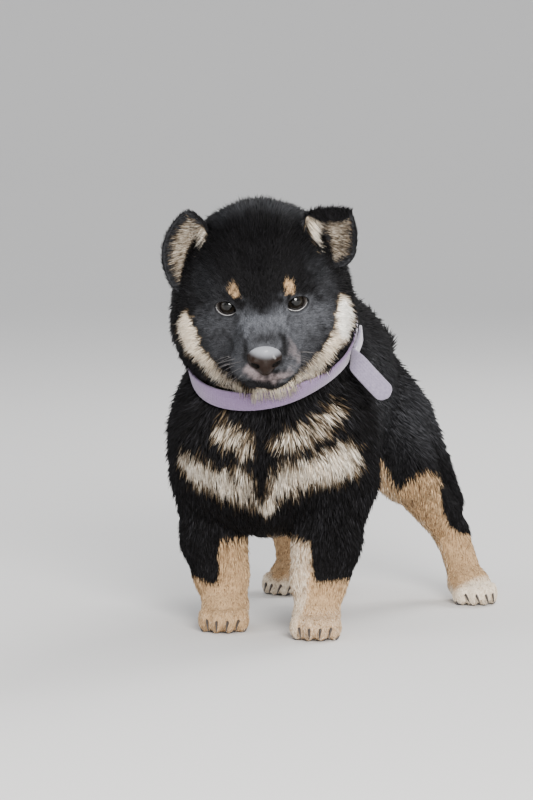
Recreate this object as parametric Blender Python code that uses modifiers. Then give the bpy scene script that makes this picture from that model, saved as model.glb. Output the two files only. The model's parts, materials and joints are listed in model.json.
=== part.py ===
"""A life-size shiba inu puppy, black and tan, about five weeks old, standing on all fours.

The puppy faces -Y, its left side is +X, and it stands on the plane Z = 0.
The outline of the coat is the smooth union of rounded masses laid along the skeleton. It is made
as one closed surface, carved for the eyes, mouth and collar, and parted into nodes by thin cuts.
"""

import math

import bmesh
import bpy
import numpy as np
from mathutils import Euler, Matrix, Vector

MM = 0.001
GAP = 0.3 * MM

# Driving sizes, in millimetres
HEAD_WIDTH = 95.0
SHOULDER_WIDTH = 104.0
WITHERS_HEIGHT = 180.0
EYE_DIAMETER = 14.0
EYE_SPACING = 31.5
EYE_DEPTH = 30.8
EYE_OPENING = (11.4, 8.0)
NOSE_WIDTH = 15.6
EAR_WIDTH = 26.5
EAR_HEIGHT = 41.5
EAR_THICKNESS = 2.4
EAR_DEPTH = 8.5
EAR_FOLDS = {"left": 9.5, "right": 0.0}
EAR_PLACES = {"left": (34.8, -11.5, 25.5), "right": (-33.5, -11.5, 22.5)}
EAR_LEANS = {"left": 5.0, "right": 3.0}
EAR_TAPERS = {"left": 0.05, "right": 0.30}
EAR_CORNERS = {"left": 2.8, "right": 2.0}
EAR_LOWS = {"left": 0.7, "right": 1.0}
FOLD_RADIUS = 2.6
FOLD_TURN = 150.0
BAND_WIDTH = 10.0
BAND_THICKNESS = 1.5
BAND_SINK = 2.4
STRAP_LENGTH = 28.0
CLAW_LENGTH = 6.0

# Where the head sits on the body, and how it is turned towards the viewer
HEAD_AT = (1.8, -62.0, 174.5)
HEAD_YAW, HEAD_PITCH, HEAD_ROLL = 20.0, 10.0, -4.0

# Where each paw stands, in millimetres, and its turn outwards, in degrees
FORE_PAWS = {"left": ((26.5, -50.0, 0.0), 17.0), "right": ((-25.5, -42.0, 0.0), 17.0)}
HIND_PAWS = {"left": ((65.0, 91.0, 0.0), 34.0), "right": ((-38.5, 93.0, 0.0), -2.0)}
HOCKS = {"left": (50.0, 106.0, 35.0), "right": (-44.0, 106.0, 35.0)}
FORE_PAW_SIZE, HIND_PAW_SIZE = 0.98, 0.93

# The plane of the neckband, which is lower at the throat than at the nape
BAND_CENTRE = (-0.5, -46.0, 143.5)
BAND_TILT = 33.0

# Locks of coat: their section, and the share of the way down at which each section stands
LOCK_SECTION = ((-1.0, -0.5), (1.0, -0.5), (0.55, 1.0), (-0.55, 1.0))
LOCK_SHARES = (0.0, 0.32, 0.67, 1.0)

# The ruff hangs from the jaw over the band: its spread in degrees, and from root to tip how high over
# the band's middle and how far out of the coat it lies, and how wide and thick it is
LOCK_RAYS = 120
RUFF_LOCKS = 18
RUFF_SPREAD = (-66.0, 49.0)
RUFF_RISES = (11.5, 7.8, 3.2, -1.0)
RUFF_OFFSETS = (-1.8, 2.5, 2.4, 1.2)
RUFF_WIDTHS = (9.5, 9.5, 7.4, 2.0)
RUFF_THICKNESSES = (2.6, 2.2, 1.8, 0.7)
RUFF_DROPS = (0.0, 1.6, 0.8)
RUFF_SWAY = 3.0

# The breast locks: across, height of the root and lean of the tip for each
BREAST_LENGTH = 15.0
BREAST_START = -100.0
CHEST_MIDDLE = (-3, -40, 100)
BREAST_OFFSETS = (-2.2, 0.1, 1.0, 1.7)
BREAST_WIDTHS = (10.0, 10.0, 7.4, 1.8)
BREAST_THICKNESSES = (3.0, 2.6, 2.0, 0.8)
BREAST_LOCKS = (
    (-34, 113, -4),
    (-26, 108, -3),
    (-19, 109, -1),
    (-11, 102, -1),
    (-4, 105, 0),
    (3, 101, 0),
    (10, 107, 1),
    (17, 103, 2),
    (24, 111, 3),
    (31, 112, 4),
)

# Surface detail
VOXEL = 1.5 * MM
COAT_TRIANGLES = 5600
LEFT, RIGHT = 1, -1
SIDES = {"left": LEFT, "right": RIGHT}


def mm(x, y, z):
    """A point or size given in millimetres, in metres."""
    return Vector((x, y, z)) * MM


def turned(degrees):
    """The rotation that turns about X, then Y, then Z."""
    return Euler([math.radians(angle) for angle in degrees]).to_matrix().to_4x4()


BODY = Matrix.Identity(4)
HEAD = (
    Matrix.Translation(mm(*HEAD_AT))
    @ turned((0, 0, HEAD_YAW))
    @ turned((HEAD_PITCH, 0, 0))
    @ turned((0, HEAD_ROLL, 0))
)


# Masses and the smooth field that they make


def lump(centre, radii, turn=(0, 0, 0), blend=6.0, frame=BODY):
    """An ellipsoid mass: its centre and half axes in millimetres, in a frame."""
    matrix = frame @ Matrix.Translation(mm(*centre)) @ turned(turn)
    return {
        "matrix": matrix,
        "centre": np.array(matrix.translation),
        "axes": np.array(matrix.to_3x3()),
        "radii": np.array(radii) * MM,
        "blend": blend * MM,
    }


def rod(start, end, start_radius, end_radius, blend=6.0, frame=BODY):
    """A tapered rod with round ends, between two points in millimetres."""
    return {
        "start": np.array(frame @ mm(*start)),
        "end": np.array(frame @ mm(*end)),
        "ends": (start_radius * MM, end_radius * MM),
        "blend": blend * MM,
    }


def distance(mass, points):
    """Roughly how far each point is outside a mass."""
    if "radii" in mass:
        local = (points - mass["centre"]) @ mass["axes"]
        scaled = np.linalg.norm(local / mass["radii"], axis=1)
        slope = np.linalg.norm(local / mass["radii"] ** 2, axis=1)
        return scaled * (scaled - 1.0) / np.maximum(slope, 1e-9)
    along = mass["end"] - mass["start"]
    share = np.clip((points - mass["start"]) @ along / (along @ along), 0.0, 1.0)
    nearest = mass["start"] + share[:, None] * along
    first, last = mass["ends"]
    return np.linalg.norm(points - nearest, axis=1) - (first + (last - first) * share)


def smooth_least(a, b, blend):
    """The smaller of two distances, rounded where they are alike."""
    overlap = np.maximum(blend - np.abs(a - b), 0.0) / blend
    return np.minimum(a, b) - overlap**2 * blend / 4.0


def field(points, masses, hollows=()):
    """How far each point is outside the blended masses, less the hollows."""
    value = np.full(len(points), 1.0)
    for mass in masses:
        value = smooth_least(value, distance(mass, points), mass["blend"])
    for hollow in hollows:
        value = -smooth_least(-value, distance(hollow, points), hollow["blend"])
    return value


def settled(points, masses, hollows, level=0.0, rounds=7):
    """Points moved along the field's slope until they lie on its surface."""
    step, most = 0.05 * MM, 1.2 * MM
    for _ in range(rounds):
        value = field(points, masses, hollows)
        slope = np.stack(
            [
                (field(points + step * axis, masses, hollows) - value) / step
                for axis in np.eye(3)
            ],
            axis=1,
        )
        steepness = np.maximum((slope**2).sum(1), 0.2)
        move = -slope * ((value - level) / steepness)[:, None]
        size = np.maximum(np.linalg.norm(move, axis=1), 1e-12)
        points = points + move * np.minimum(1.0, most / size)[:, None]
    return points


# The skeleton's landmarks, in millimetres


def torso_masses():
    """Chest, ribs, belly and rump, with the spine swung a little to the puppy's left."""
    half = SHOULDER_WIDTH / 2
    return [
        lump((-3, -36, 96), (half - 4, 43, 50), blend=12),
        lump((-2, 6, 117), (half - 10, 52, WITHERS_HEIGHT - 118), blend=14),
        lump((1, 42, 117), (37, 44, 54), blend=14),
        lump((4, 78, 108), (29, 34, 38), blend=12),
    ]


def neck_masses():
    """The neck, the nape and the ruff below the throat."""
    return [
        rod((-3, -18, 128), (1, -52, 150), 45, 41, blend=12),
        lump((-1, -20, 158), (34, 36, 25), turn=(-12, 0, 0), blend=14),
        lump((-3, -62, 104), (40, 22, 30), turn=(-20, 0, 0), blend=10),
    ]


def foreleg_masses(name):
    """Shoulder, upper arm, forearm and paw of one foreleg."""
    side = SIDES[name]
    foot, heading = FORE_PAWS[name]
    back = 9.0
    wrist_x = foot[0] - back * math.sin(math.radians(heading))
    wrist_y = foot[1] + back * math.cos(math.radians(heading))
    shoulder = -3 + side * (SHOULDER_WIDTH / 2 - 22)
    elbow = (-3 + side * 31.5, wrist_y, 45)
    shin = (-3 + side * 28, wrist_y, 28)
    wrist = (wrist_x, wrist_y, 13)
    return [
        lump((shoulder, -32, 96), (25, 32, 42), blend=12),
        rod((shoulder + side * 5, -31, 76), elbow, 20.5, 17, blend=8),
        rod(elbow, shin, 17, 14.5, blend=8),
        rod(shin, wrist, 14.5, 12.2, blend=6),
        *paw_masses(foot, FORE_PAW_SIZE, heading),
    ]


def hip_middle():
    """How far across the body's middle is between the hips."""
    return (HOCKS["left"][0] + HOCKS["right"][0]) / 2


def hindleg_masses(name):
    """Thigh, shank, hock and paw of one hind leg, set wide."""
    side = SIDES[name]
    foot, heading = HIND_PAWS[name]
    hock = HOCKS[name]
    middle = hip_middle()
    back = 7.0
    heel = (
        foot[0] - back * math.sin(math.radians(heading)),
        foot[1] + back * math.cos(math.radians(heading)),
        11.5,
    )
    hip = (middle + side * 16, 81, 104)
    knee = (middle + side * 34, 63, 73)
    breech = (middle + side * 22, 96, 98)
    return [
        rod(hip, knee, 22, 17, blend=12),
        rod(breech, (hock[0] - side * 3, 106, 53), 18, 10.5, blend=10),
        rod(knee, hock, 16, 9.8, blend=9),
        rod(hock, heel, 10.2, 10, blend=5),
        *paw_masses(foot, HIND_PAW_SIZE, heading),
    ]


def paw_frame(place, heading):
    """The frame of a paw whose toes point ahead, turned outwards by a heading."""
    return Matrix.Translation(mm(*place)) @ turned((0, 0, heading))


# The middle of each toe, across and ahead of the paw's ball, in millimetres
TOE_SPREAD = (-9.4, -3.3, 3.3, 9.4)
TOE_REACH = (-10.5, -14.5, -14.5, -10.5)


def paw_masses(place, size, heading):
    """The ball of a paw and its four toes."""
    frame = paw_frame(place, heading)
    masses = [
        lump((0, 1 * size, 10 * size), (13 * size, 14.5 * size, 11.2 * size), blend=5, frame=frame),
    ]
    for across, reach in zip(TOE_SPREAD, TOE_REACH):
        masses.append(
            lump(
                (across * size, reach * size, 6.2 * size),
                (4.4 * size, 8.2 * size, 7.3 * size),
                turn=(0, 0, -across * 1.2),
                blend=2.0,
                frame=frame,
            )
        )
    return masses


def tail_masses():
    """A short, thick tail that rises from the rump and curls down over the right hip."""
    line = [
        ((4, 98, 122), 14),
        ((1, 112, 134), 12.5),
        ((-9, 117, 144), 12),
        ((-21, 112, 149), 11.5),
        ((-31, 99, 147), 10.5),
        ((-36, 86, 140), 8.5),
        ((-38, 76, 132), 5.5),
    ]
    pairs = zip(line[:-1], line[1:])
    return [rod(a, b, ra, rb, blend=7) for (a, ra), (b, rb) in pairs]


def eye_frame(side):
    """The frame of one eyeball, which looks along its own -Y."""
    place = mm(side * EYE_SPACING / 2, -EYE_DEPTH, 0)
    return HEAD @ Matrix.Translation(place) @ turned((4, 0, side * 14))


def head_masses():
    """Skull, brow, cheeks, muzzle, lids and jaw, in the head's frame with the eyes at Z = 0."""
    half = HEAD_WIDTH / 2

    def bulk(centre, radii, turn=(0, 0, 0), blend=6.0):
        return lump(centre, radii, turn, blend, HEAD)

    masses = [
        bulk((0, 5, 3), (half - 3, 43, 40)),
        bulk((0, -9, 16), (30.5, 29, 31), blend=10),
        bulk((0, -7, -15), (half - 0.5, 34, 37), blend=12),
        rod((0, -24, -15.5), (0, -47, -21), 23, 16, blend=10, frame=HEAD),
        rod((0, -30, -6), (0, -54, -15.5), 12.5, 10.5, blend=8, frame=HEAD),
        bulk((0, -44, -33.5), (13, 16.5, 7.2), blend=2.5),
    ]
    for side in SIDES.values():
        masses += [
            bulk((side * 22, -24, -19), (17, 17, 18), blend=10),
            bulk((side * 14, -28, 9.5), (11.5, 7.5, 6.5), blend=9),
            bulk((side * 7.5, -49, -25.5), (10.5, 12.5, 8.8), turn=(8, 0, side * 14), blend=5),
            lump((0, 0, 0), (8.9, 8.3, 8.4), blend=3, frame=eye_frame(side)),
        ]
    return masses


def dog_masses():
    masses = torso_masses() + neck_masses() + tail_masses()
    for name in SIDES:
        masses += foreleg_masses(name) + hindleg_masses(name)
    return masses + head_masses()


def nose_masses():
    """The nose leather: a broad top, two wings and a narrow foot."""
    wide = NOSE_WIDTH / 2

    def bulk(centre, radii, turn=(0, 0, 0), blend=2.5):
        return lump(centre, radii, turn, blend, HEAD)

    masses = [
        bulk((0, -59, -18.2), (wide, 7.5, 5.2), turn=(-12, 0, 0)),
        bulk((0, -61.5, -23.6), (4.3, 5.4, 5.4), blend=3),
    ]
    for side in SIDES.values():
        masses.append(bulk((side * 5.0, -60.5, -21.2), (3.2, 5.8, 4.1), turn=(0, side * 20, 0)))
    return masses


def nostril_hollows():
    """A comma-shaped hollow on each side of the nose, open to the front and the side."""
    hollows = []
    for side in SIDES.values():
        hollows.append(lump((side * 3.2, -66.8, -20.9), (1.45, 3.4, 1.3), (0, 0, side * 18), 0.6, HEAD))
        hollows.append(lump((side * 5.4, -65.2, -21.5), (2.2, 2.2, 0.7), (0, side * 16, 0), 0.8, HEAD))
    hollows.append(rod((0, -67.6, -21.6), (0, -66.8, -30), 0.45, 0.6, blend=0.6, frame=HEAD))
    return hollows


# Blender meshes


def clear_scene():
    for obj in list(bpy.data.objects):
        bpy.data.objects.remove(obj)


def new_object(name, mesh, collection):
    obj = bpy.data.objects.new(name, mesh)
    collection.objects.link(obj)
    return obj


def applied(obj):
    """Bakes an object's modifiers into its mesh."""
    bpy.context.view_layer.update()
    graph = bpy.context.evaluated_depsgraph_get()
    mesh = bpy.data.meshes.new_from_object(obj.evaluated_get(graph))
    obj.modifiers.clear()
    obj.data = mesh
    return obj


def coordinates(mesh):
    places = np.empty(len(mesh.vertices) * 3)
    mesh.vertices.foreach_get("co", places)
    return places.reshape(-1, 3)


def set_coordinates(mesh, places):
    mesh.vertices.foreach_set("co", np.ascontiguousarray(places, np.float32).ravel())
    mesh.update()


def add_mass(bm, mass):
    """A ball for a lump, or the hull of two balls for a rod."""
    if "radii" in mass:
        matrix = mass["matrix"] @ Matrix.Diagonal((*mass["radii"], 1.0))
        bmesh.ops.create_icosphere(bm, subdivisions=4, radius=1.0, matrix=matrix)
        return
    own = bmesh.new()
    for place, radius in zip((mass["start"], mass["end"]), mass["ends"]):
        matrix = Matrix.Translation(Vector(place))
        bmesh.ops.create_icosphere(own, subdivisions=3, radius=radius, matrix=matrix)
    hull = bmesh.ops.convex_hull(own, input=own.verts)
    loose = {v for v in hull["geom_interior"] if isinstance(v, bmesh.types.BMVert)}
    bmesh.ops.delete(own, geom=list(loose), context="VERTS")
    mesh = bpy.data.meshes.new("hull")
    own.to_mesh(mesh)
    own.free()
    bm.from_mesh(mesh)
    bpy.data.meshes.remove(mesh)


def from_bmesh(name, bm, collection):
    mesh = bpy.data.meshes.new(name)
    bm.to_mesh(mesh)
    bm.free()
    return new_object(name, mesh, collection)


def formed(name, masses, collection, voxel, hollows=(), level=0.0):
    """One closed surface around the blended masses."""
    bm = bmesh.new()
    for mass in masses:
        add_mass(bm, mass)
    bmesh.ops.delete(bm, geom=[v for v in bm.verts if not v.link_faces], context="VERTS")
    obj = from_bmesh(name, bm, collection)
    remesh = obj.modifiers.new("Remesh", "REMESH")
    remesh.mode = "VOXEL"
    remesh.voxel_size = voxel
    applied(obj)
    set_coordinates(obj.data, settled(coordinates(obj.data), masses, hollows, level))
    return obj


def thinned(obj, triangles):
    """Fewer triangles, kept where the surface bends most."""
    count = sum(len(face.vertices) - 2 for face in obj.data.polygons)
    decimate = obj.modifiers.new("Decimate", "DECIMATE")
    decimate.ratio = triangles / count
    return applied(obj)


def is_closed(mesh):
    """Whether each edge of a mesh has just two faces."""
    bm = bmesh.new()
    bm.from_mesh(mesh)
    closed = all(edge.is_manifold for edge in bm.edges)
    bm.free()
    return closed


def cut_from(obj, cutter):
    """Takes a cutter's volume out of an object, by the second solver where the first leaves a gap."""
    whole = obj.data
    for solver in ("EXACT", "MANIFOLD"):
        obj.data = whole
        boolean = obj.modifiers.new("Cut", "BOOLEAN")
        boolean.operation = "DIFFERENCE"
        boolean.solver = solver
        boolean.object = cutter
        applied(obj)
        if is_closed(obj.data):
            break
    hide(cutter)


def hide(obj):
    obj.hide_render = True
    obj.display_type = "WIRE"


def joined_cutter(name, pieces, collection):
    """One cutter from pieces that lie apart."""
    bm = bmesh.new()
    for piece in pieces:
        bm.from_mesh(piece.data)
        bpy.data.objects.remove(piece)
    return from_bmesh(name, bm, collection)


def loft(name, rings, collection, closed=False):
    """A skin of faces through like rings of points, with flat ends or closed on itself."""
    bm = bmesh.new()
    rows = [[bm.verts.new(point) for point in ring] for ring in rings]
    pairs = list(zip(rows[:-1], rows[1:]))
    if closed:
        pairs.append((rows[-1], rows[0]))
    else:
        bm.faces.new(reversed(rows[0]))
        bm.faces.new(rows[-1])
    for first, second in pairs:
        for i, vertex in enumerate(first):
            j = (i + 1) % len(first)
            bm.faces.new((vertex, first[j], second[j]))
            bm.faces.new((vertex, second[j], second[i]))
    bmesh.ops.recalc_face_normals(bm, faces=bm.faces)
    return from_bmesh(name, bm, collection)


def tube(name, points, radius, collection):
    """A round tube along points, as a closed mesh."""
    curve = bpy.data.curves.new(name, "CURVE")
    curve.dimensions = "3D"
    curve.bevel_depth = radius
    curve.bevel_resolution = 2
    curve.use_fill_caps = True
    spline = curve.splines.new("POLY")
    spline.points.add(len(points) - 1)
    for place, point in zip(points, spline.points):
        point.co = (*place, 1.0)
    path = new_object(name, curve, collection)
    bpy.context.view_layer.update()
    graph = bpy.context.evaluated_depsgraph_get()
    mesh = bpy.data.meshes.new_from_object(path.evaluated_get(graph))
    bpy.data.objects.remove(path)
    bm = bmesh.new()
    bm.from_mesh(mesh)
    bmesh.ops.remove_doubles(bm, verts=bm.verts, dist=1e-6)
    return from_bmesh(name, bm, collection)


# The coat


def whole_coat(collection):
    """The coat's outline from the nose to the tail, as one closed surface on the floor."""
    coat = formed("coat", dog_masses(), collection, VOXEL)
    return thinned(coat, COAT_TRIANGLES)


def level_floor(coat, cutters):
    """Flat soles at the height of the floor."""
    bm = bmesh.new()
    depth = 40 * MM
    bmesh.ops.create_cube(bm, size=1.0, matrix=Matrix.Diagonal((0.6, 0.6, depth, 1.0)))
    floor = from_bmesh("floor_cutter", bm, cutters)
    floor.data.transform(Matrix.Translation((0, 0, -depth / 2)))
    cut_from(coat, floor)


# Eyes, nose and mouth


def eyeball(name, side, radius, collection):
    bm = bmesh.new()
    matrix = eye_frame(side) @ Matrix.Rotation(math.radians(90), 4, "X")
    bmesh.ops.create_uvsphere(bm, u_segments=16, v_segments=9, radius=radius, matrix=matrix)
    return from_bmesh(name, bm, collection)


def lid_opening(name, side, collection):
    """An almond prism that runs out from the eyeball's middle."""
    width, height = EYE_OPENING
    outline = []
    for step in range(28):
        angle = math.tau * step / 28
        across = math.cos(angle) * width / 2
        up = math.sin(angle) * height / 2 * (1.0 - 0.3 * math.cos(angle) ** 4)
        slant = side * across * 0.09
        outline.append((across, up + slant))
    frame = eye_frame(side)
    rings = [[frame @ mm(x, y, z) for x, z in outline] for y in (-3.0, -14.0)]
    return loft(name, rings, collection)


def carve_eyes(coat, cutters):
    """A socket for each eyeball and the opening between its lids."""
    for name, side in SIDES.items():
        cut_from(coat, eyeball("socket_cutter_" + name, side, EYE_DIAMETER / 2 * MM + GAP, cutters))
        cut_from(coat, lid_opening("lid_cutter_" + name, side, cutters))


def on_coat(points):
    """Points in the head's frame, in millimetres, moved onto the coat."""
    places = np.array([HEAD @ mm(*point) for point in points])
    return settled(places, dog_masses(), (), rounds=12)


def carve_mouth(coat, cutters):
    """The line between the lips, and the groove that runs up from it to the nose."""
    half = [(0.01, -62, -33.2), (3.5, -62, -33.6), (7, -60, -34), (10.5, -56, -33.6), (13.5, -51, -32.2)]
    line = [(-x, y, z) for x, y, z in reversed(half[1:])] + half
    cut_from(coat, tube("mouth_cutter", on_coat(line), 0.75 * MM, cutters))
    groove = [(0, -66, -27), (0, -64, -30.5), (0, -62, -33.2)]
    cut_from(coat, tube("groove_cutter", on_coat(groove), 0.45 * MM, cutters))


def nose_leather(coat, parts, cutters):
    """The nose, set into a recess that is wider by the gap."""
    nose = formed("nose", nose_masses(), parts, 0.35 * MM, nostril_hollows())
    thinned(nose, 540)
    recess = formed("nose_cutter", nose_masses(), cutters, 0.5 * MM, level=1.2 * GAP)
    thinned(recess, 260)
    cut_from(coat, recess)
    return nose


# Ears


def ear_frame(side):
    """The frame of one ear: it opens along its own -Y and its tip is up."""
    name = "left" if side > 0 else "right"
    return HEAD @ Matrix.Translation(mm(*EAR_PLACES[name])) @ turned((-6, EAR_LEANS[name], side * 14))


def ear_shape(across, up, name):
    """A point of the ear's cupped back, from places across and up that run from -1 to 1."""
    fold, corners = EAR_FOLDS[name], EAR_CORNERS[name]
    taper = 1.0 - EAR_TAPERS[name] * max(up, 0.0) ** 1.6
    round_share = max(1.0 - abs(up) ** corners, 0.0) ** (1.0 / corners)
    x = across * round_share * EAR_WIDTH / 2 * taper
    z = up * EAR_HEIGHT / 2 * (1.0 if up > 0 else EAR_LOWS[name])
    edge = across * across * round_share**2 + up * up
    y = EAR_DEPTH * (1.0 - min(edge, 1.0)) - EAR_DEPTH / 3
    crease = EAR_HEIGHT / 2 - fold
    if fold:
        y = y * (1.0 - 0.85 * min(max((z - crease + 9.0) / 9.0, 0.0), 1.0))
    if fold and z > crease:
        turn = min((z - crease) / FOLD_RADIUS, math.radians(FOLD_TURN))
        rest = z - crease - turn * FOLD_RADIUS
        z = crease + FOLD_RADIUS * math.sin(turn) + rest * math.cos(turn)
        y = y - FOLD_RADIUS * (1.0 - math.cos(turn)) - rest * math.sin(turn)
    return mm(x, y, z)


def ear(name, side, parts):
    """A cupped ear; the left one's tip has dropped forward."""
    bm = bmesh.new()
    bmesh.ops.create_grid(bm, x_segments=8, y_segments=18, size=1.0)
    frame = ear_frame(side)
    for vertex in bm.verts:
        across, up = vertex.co.x, vertex.co.y * 0.985
        vertex.co = frame @ ear_shape(across, up, name)
    obj = from_bmesh("ear_" + name, bm, parts)
    solid = obj.modifiers.new("Solidify", "SOLIDIFY")
    solid.thickness = EAR_THICKNESS * MM
    solid.offset = 0.0
    return applied(obj)


def trimmed_to_coat(obj, coat, cutters):
    """Cuts off what lies in the coat, with the gap, and keeps the largest piece."""
    places = coordinates(coat.data)
    normals = np.empty(len(coat.data.vertices) * 3)
    coat.data.vertices.foreach_get("normal", normals)
    swollen = new_object(obj.name + "_root_cutter", coat.data.copy(), cutters)
    set_coordinates(swollen.data, places + normals.reshape(-1, 3) * GAP * 1.15)
    cut_from(obj, swollen)
    pieces = loose_meshes(obj)
    keep_largest(obj, pieces)
    return obj


# Neckband


def band_axes():
    """The band's across, forward and upward directions."""
    tilt = math.radians(BAND_TILT)
    across = np.array((1.0, 0.0, 0.0))
    ahead = np.array((0.0, -math.cos(tilt), -math.sin(tilt)))
    up = np.array((0.0, -math.sin(tilt), math.cos(tilt)))
    return across, ahead, up


def girth(rise, offset, count=60):
    """Points around the neck in the band's plane raised by rise, offset from the pressed coat."""
    across, ahead, up = band_axes()
    centre = np.array(mm(*BAND_CENTRE)) + up * rise * MM
    angles = np.arange(count) * math.tau / count
    rays = np.cos(angles)[:, None] * across + np.sin(angles)[:, None] * ahead
    reach = np.arange(25 * MM, 80 * MM, 0.2 * MM)
    places = centre + rays[:, None, :] * reach[None, :, None]
    level = -BAND_SINK * MM
    outside = field(places.reshape(-1, 3), dog_masses()).reshape(count, -1) > level
    radii = reach[outside.argmax(axis=1)]
    for _ in range(8):
        radii = (np.roll(radii, 1) + 2 * radii + np.roll(radii, -1)) / 4
    return centre + rays * (radii + offset * MM)[:, None]


def band(name, inner, outer, margin, collection):
    """A closed band around the neck between two offsets, wider by a margin at each edge."""
    half = BAND_WIDTH / 2
    low_in, low_out = girth(-half, inner), girth(-half, outer)
    high_in, high_out = girth(half, inner), girth(half, outer)
    share = margin / BAND_WIDTH
    loops = [
        low_in + (low_in - high_in) * share,
        low_out + (low_out - high_out) * share,
        high_out + (high_out - low_out) * share,
        high_in + (high_in - low_in) * share,
    ]
    sections = [list(section) for section in zip(*loops)]
    return loft(name, sections, collection, closed=True)


def neckband(coat, parts, cutters):
    """The soft band, pressed into the coat, and its groove."""
    gap = GAP / MM
    cut_from(coat, band("band_cutter", -gap, 9.0, gap, cutters))
    band("neckband", 0.0, BAND_THICKNESS, 0.0, parts)
    strap_end(parts)


def strap_end(parts):
    """The strap's free end: it lies on the band, then stands off outwards and down."""
    offset = BAND_THICKNESS * 1.5 + 1.6 * GAP / MM
    low, high = girth(-BAND_WIDTH / 2, offset), girth(BAND_WIDTH / 2, offset)
    on_band = (-3, -2, -1, 0, 1)
    path = [Vector((low[i] + high[i]) / 2) for i in on_band]
    widths = [Vector(high[i] - low[i]).normalized() for i in on_band]
    leave = path[-1]
    lift = leave + (leave - path[-2]).normalized() * 8 * MM + mm(5, 0, 1)
    tip = leave + mm(0.71, -0.09, -0.70) * STRAP_LENGTH
    slant = Vector((0.752, 0.274, 0.6)).normalized()
    steps = 9
    for step in range(1, steps + 1):
        t = step / steps
        path.append(leave * (1 - t) ** 2 + lift * 2 * t * (1 - t) + tip * t * t)
        widths.append(widths[len(on_band) - 1].lerp(slant, min(2.2 * t, 1.0)))
    sections = []
    for index, (place, wide) in enumerate(zip(path, widths)):
        before, after = path[max(index - 1, 0)], path[min(index + 1, len(path) - 1)]
        along = (after - before).normalized()
        wide = (wide - along * wide.dot(along)).normalized()
        thick = along.cross(wide)
        to_tip = (len(path) - 1 - index) / 2.0
        half = BAND_WIDTH / 2 * MM * math.sqrt(min(1.0, 0.45 + to_tip))
        deep = BAND_THICKNESS / 2 * MM
        corners = ((-half, -deep), (half, -deep), (half, deep), (-half, deep))
        sections.append([place + wide * w + thick * t for w, t in corners])
    return loft("strap_end", sections, parts)


# Claws


def claw(name, paw, toe, grow, collection):
    """A curved tapering claw that leaves the tip of one toe."""
    place, heading = paw["place"]
    size = paw["size"]
    across, reach = TOE_SPREAD[toe] * size, TOE_REACH[toe] * size
    frame = paw_frame(place, heading) @ Matrix.Translation(mm(across, reach, 0))
    frame = frame @ turned((0, 0, -across * 1.2))
    root = -6.2 * size
    rings = []
    for step in range(3):
        share = step / 2
        radius = (1.25 - 0.95 * share) * size + grow
        centre = (0, root - CLAW_LENGTH * size * share, (6.6 - 4.4 * share**1.6) * size)
        rings.append(
            [
                frame
                @ mm(
                    centre[0] + radius * math.cos(angle),
                    centre[1],
                    centre[2] + 1.15 * radius * math.sin(angle),
                )
                for angle in (math.tau * i / 6 for i in range(6))
            ]
        )
    return loft(name, rings, collection)


def paws():
    """Each paw's name with its place, heading and size."""
    table = {}
    for name in SIDES:
        table["fore_" + name] = {"place": FORE_PAWS[name], "size": FORE_PAW_SIZE}
        table["hind_" + name] = {"place": HIND_PAWS[name], "size": HIND_PAW_SIZE}
    return table


def claws(coat, parts, cutters):
    """Four claws on each paw, and the small holes that they leave the toes through."""
    holes = []
    for name, paw in paws().items():
        for toe in range(len(TOE_SPREAD)):
            claw(f"claw_{name}_{toe + 1}", paw, toe, 0.0, parts)
            holes.append(claw(f"hole_{name}_{toe + 1}", paw, toe, GAP / MM, cutters))
    cut_from(coat, joined_cutter("claw_cutter", holes, cutters))


# Parting the coat into its named pieces


def blade(name, centre, normal, radius, cutters):
    """A thin round cutter across the body."""
    turn = Vector(normal).to_track_quat("Z", "Y").to_matrix().to_4x4()
    bm = bmesh.new()
    bmesh.ops.create_cone(
        bm,
        cap_ends=True,
        segments=40,
        radius1=radius * MM,
        radius2=radius * MM,
        depth=GAP,
        matrix=Matrix.Translation(mm(*centre)) @ turn,
    )
    return from_bmesh("blade_" + name, bm, cutters)


def blades():
    """Where the coat is parted: a name, a centre, a normal and a radius for each cut."""
    tilt = math.radians(BAND_TILT)
    up = Vector((0.0, -math.sin(tilt), math.cos(tilt)))
    throat = Vector(BAND_CENTRE) + up * (BAND_WIDTH / 2 + 2.5)
    cuts = [
        ("throat", throat, up, 66),
        ("withers", (-2, -33, 136), (0, -0.7, 0.715), 82),
        ("girdle", (0, 8, 115), (0, 1, 0), 78),
        ("loin", (2, 43, 115), (0, 1, 0), 74),
        ("tail", (2, 107, 130), (-0.15, 0.75, 0.64), 20),
    ]
    for name, side in SIDES.items():
        hock = Vector(HOCKS[name])
        foot = FORE_PAWS[name][0]
        middle = hip_middle()
        cuts += [
            ("shoulder_" + name, (-3 + side * 31, -32, 76), (side * 0.7, -0.28, -0.66), 54),
            ("wrist_" + name, (foot[0] - side * 2, foot[1] + 6, 17), (0, 0, 1), 24),
            ("thigh_" + name, (middle + side * 33, 80, 98), (side * 0.78, 0.36, -0.55), 56),
            ("shank_" + name, (hock.x - side, hock.y - 7, 46), (0, 0.35, -0.94), 27),
            ("hock_" + name, (hock.x + side * 3, hock.y - 4, 19), (0, 0, 1), 26),
        ]
    return cuts


def anchors():
    """A point inside each piece of the parted coat, in millimetres."""
    places = {
        "head": HEAD_AT,
        "neck": (-1, -28, 148),
        "chest": CHEST_MIDDLE,
        "belly": (0, 26, 115),
        "rump": (4, 72, 112),
        "tail": (-20, 112, 148),
    }
    for name, side in SIDES.items():
        fore, hind = FORE_PAWS[name][0], HIND_PAWS[name][0]
        hock = HOCKS[name]
        middle = hip_middle()
        places["foreleg_" + name] = (-3 + side * 33, -36, 50)
        places["forepaw_" + name] = (fore[0], fore[1], 8)
        places["thigh_" + name] = (middle + side * 35, 78, 85)
        places["shank_" + name] = (hock[0], hock[1] - 8, 40)
        places["hindpaw_" + name] = (hind[0], hind[1], 8)
    return places


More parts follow.
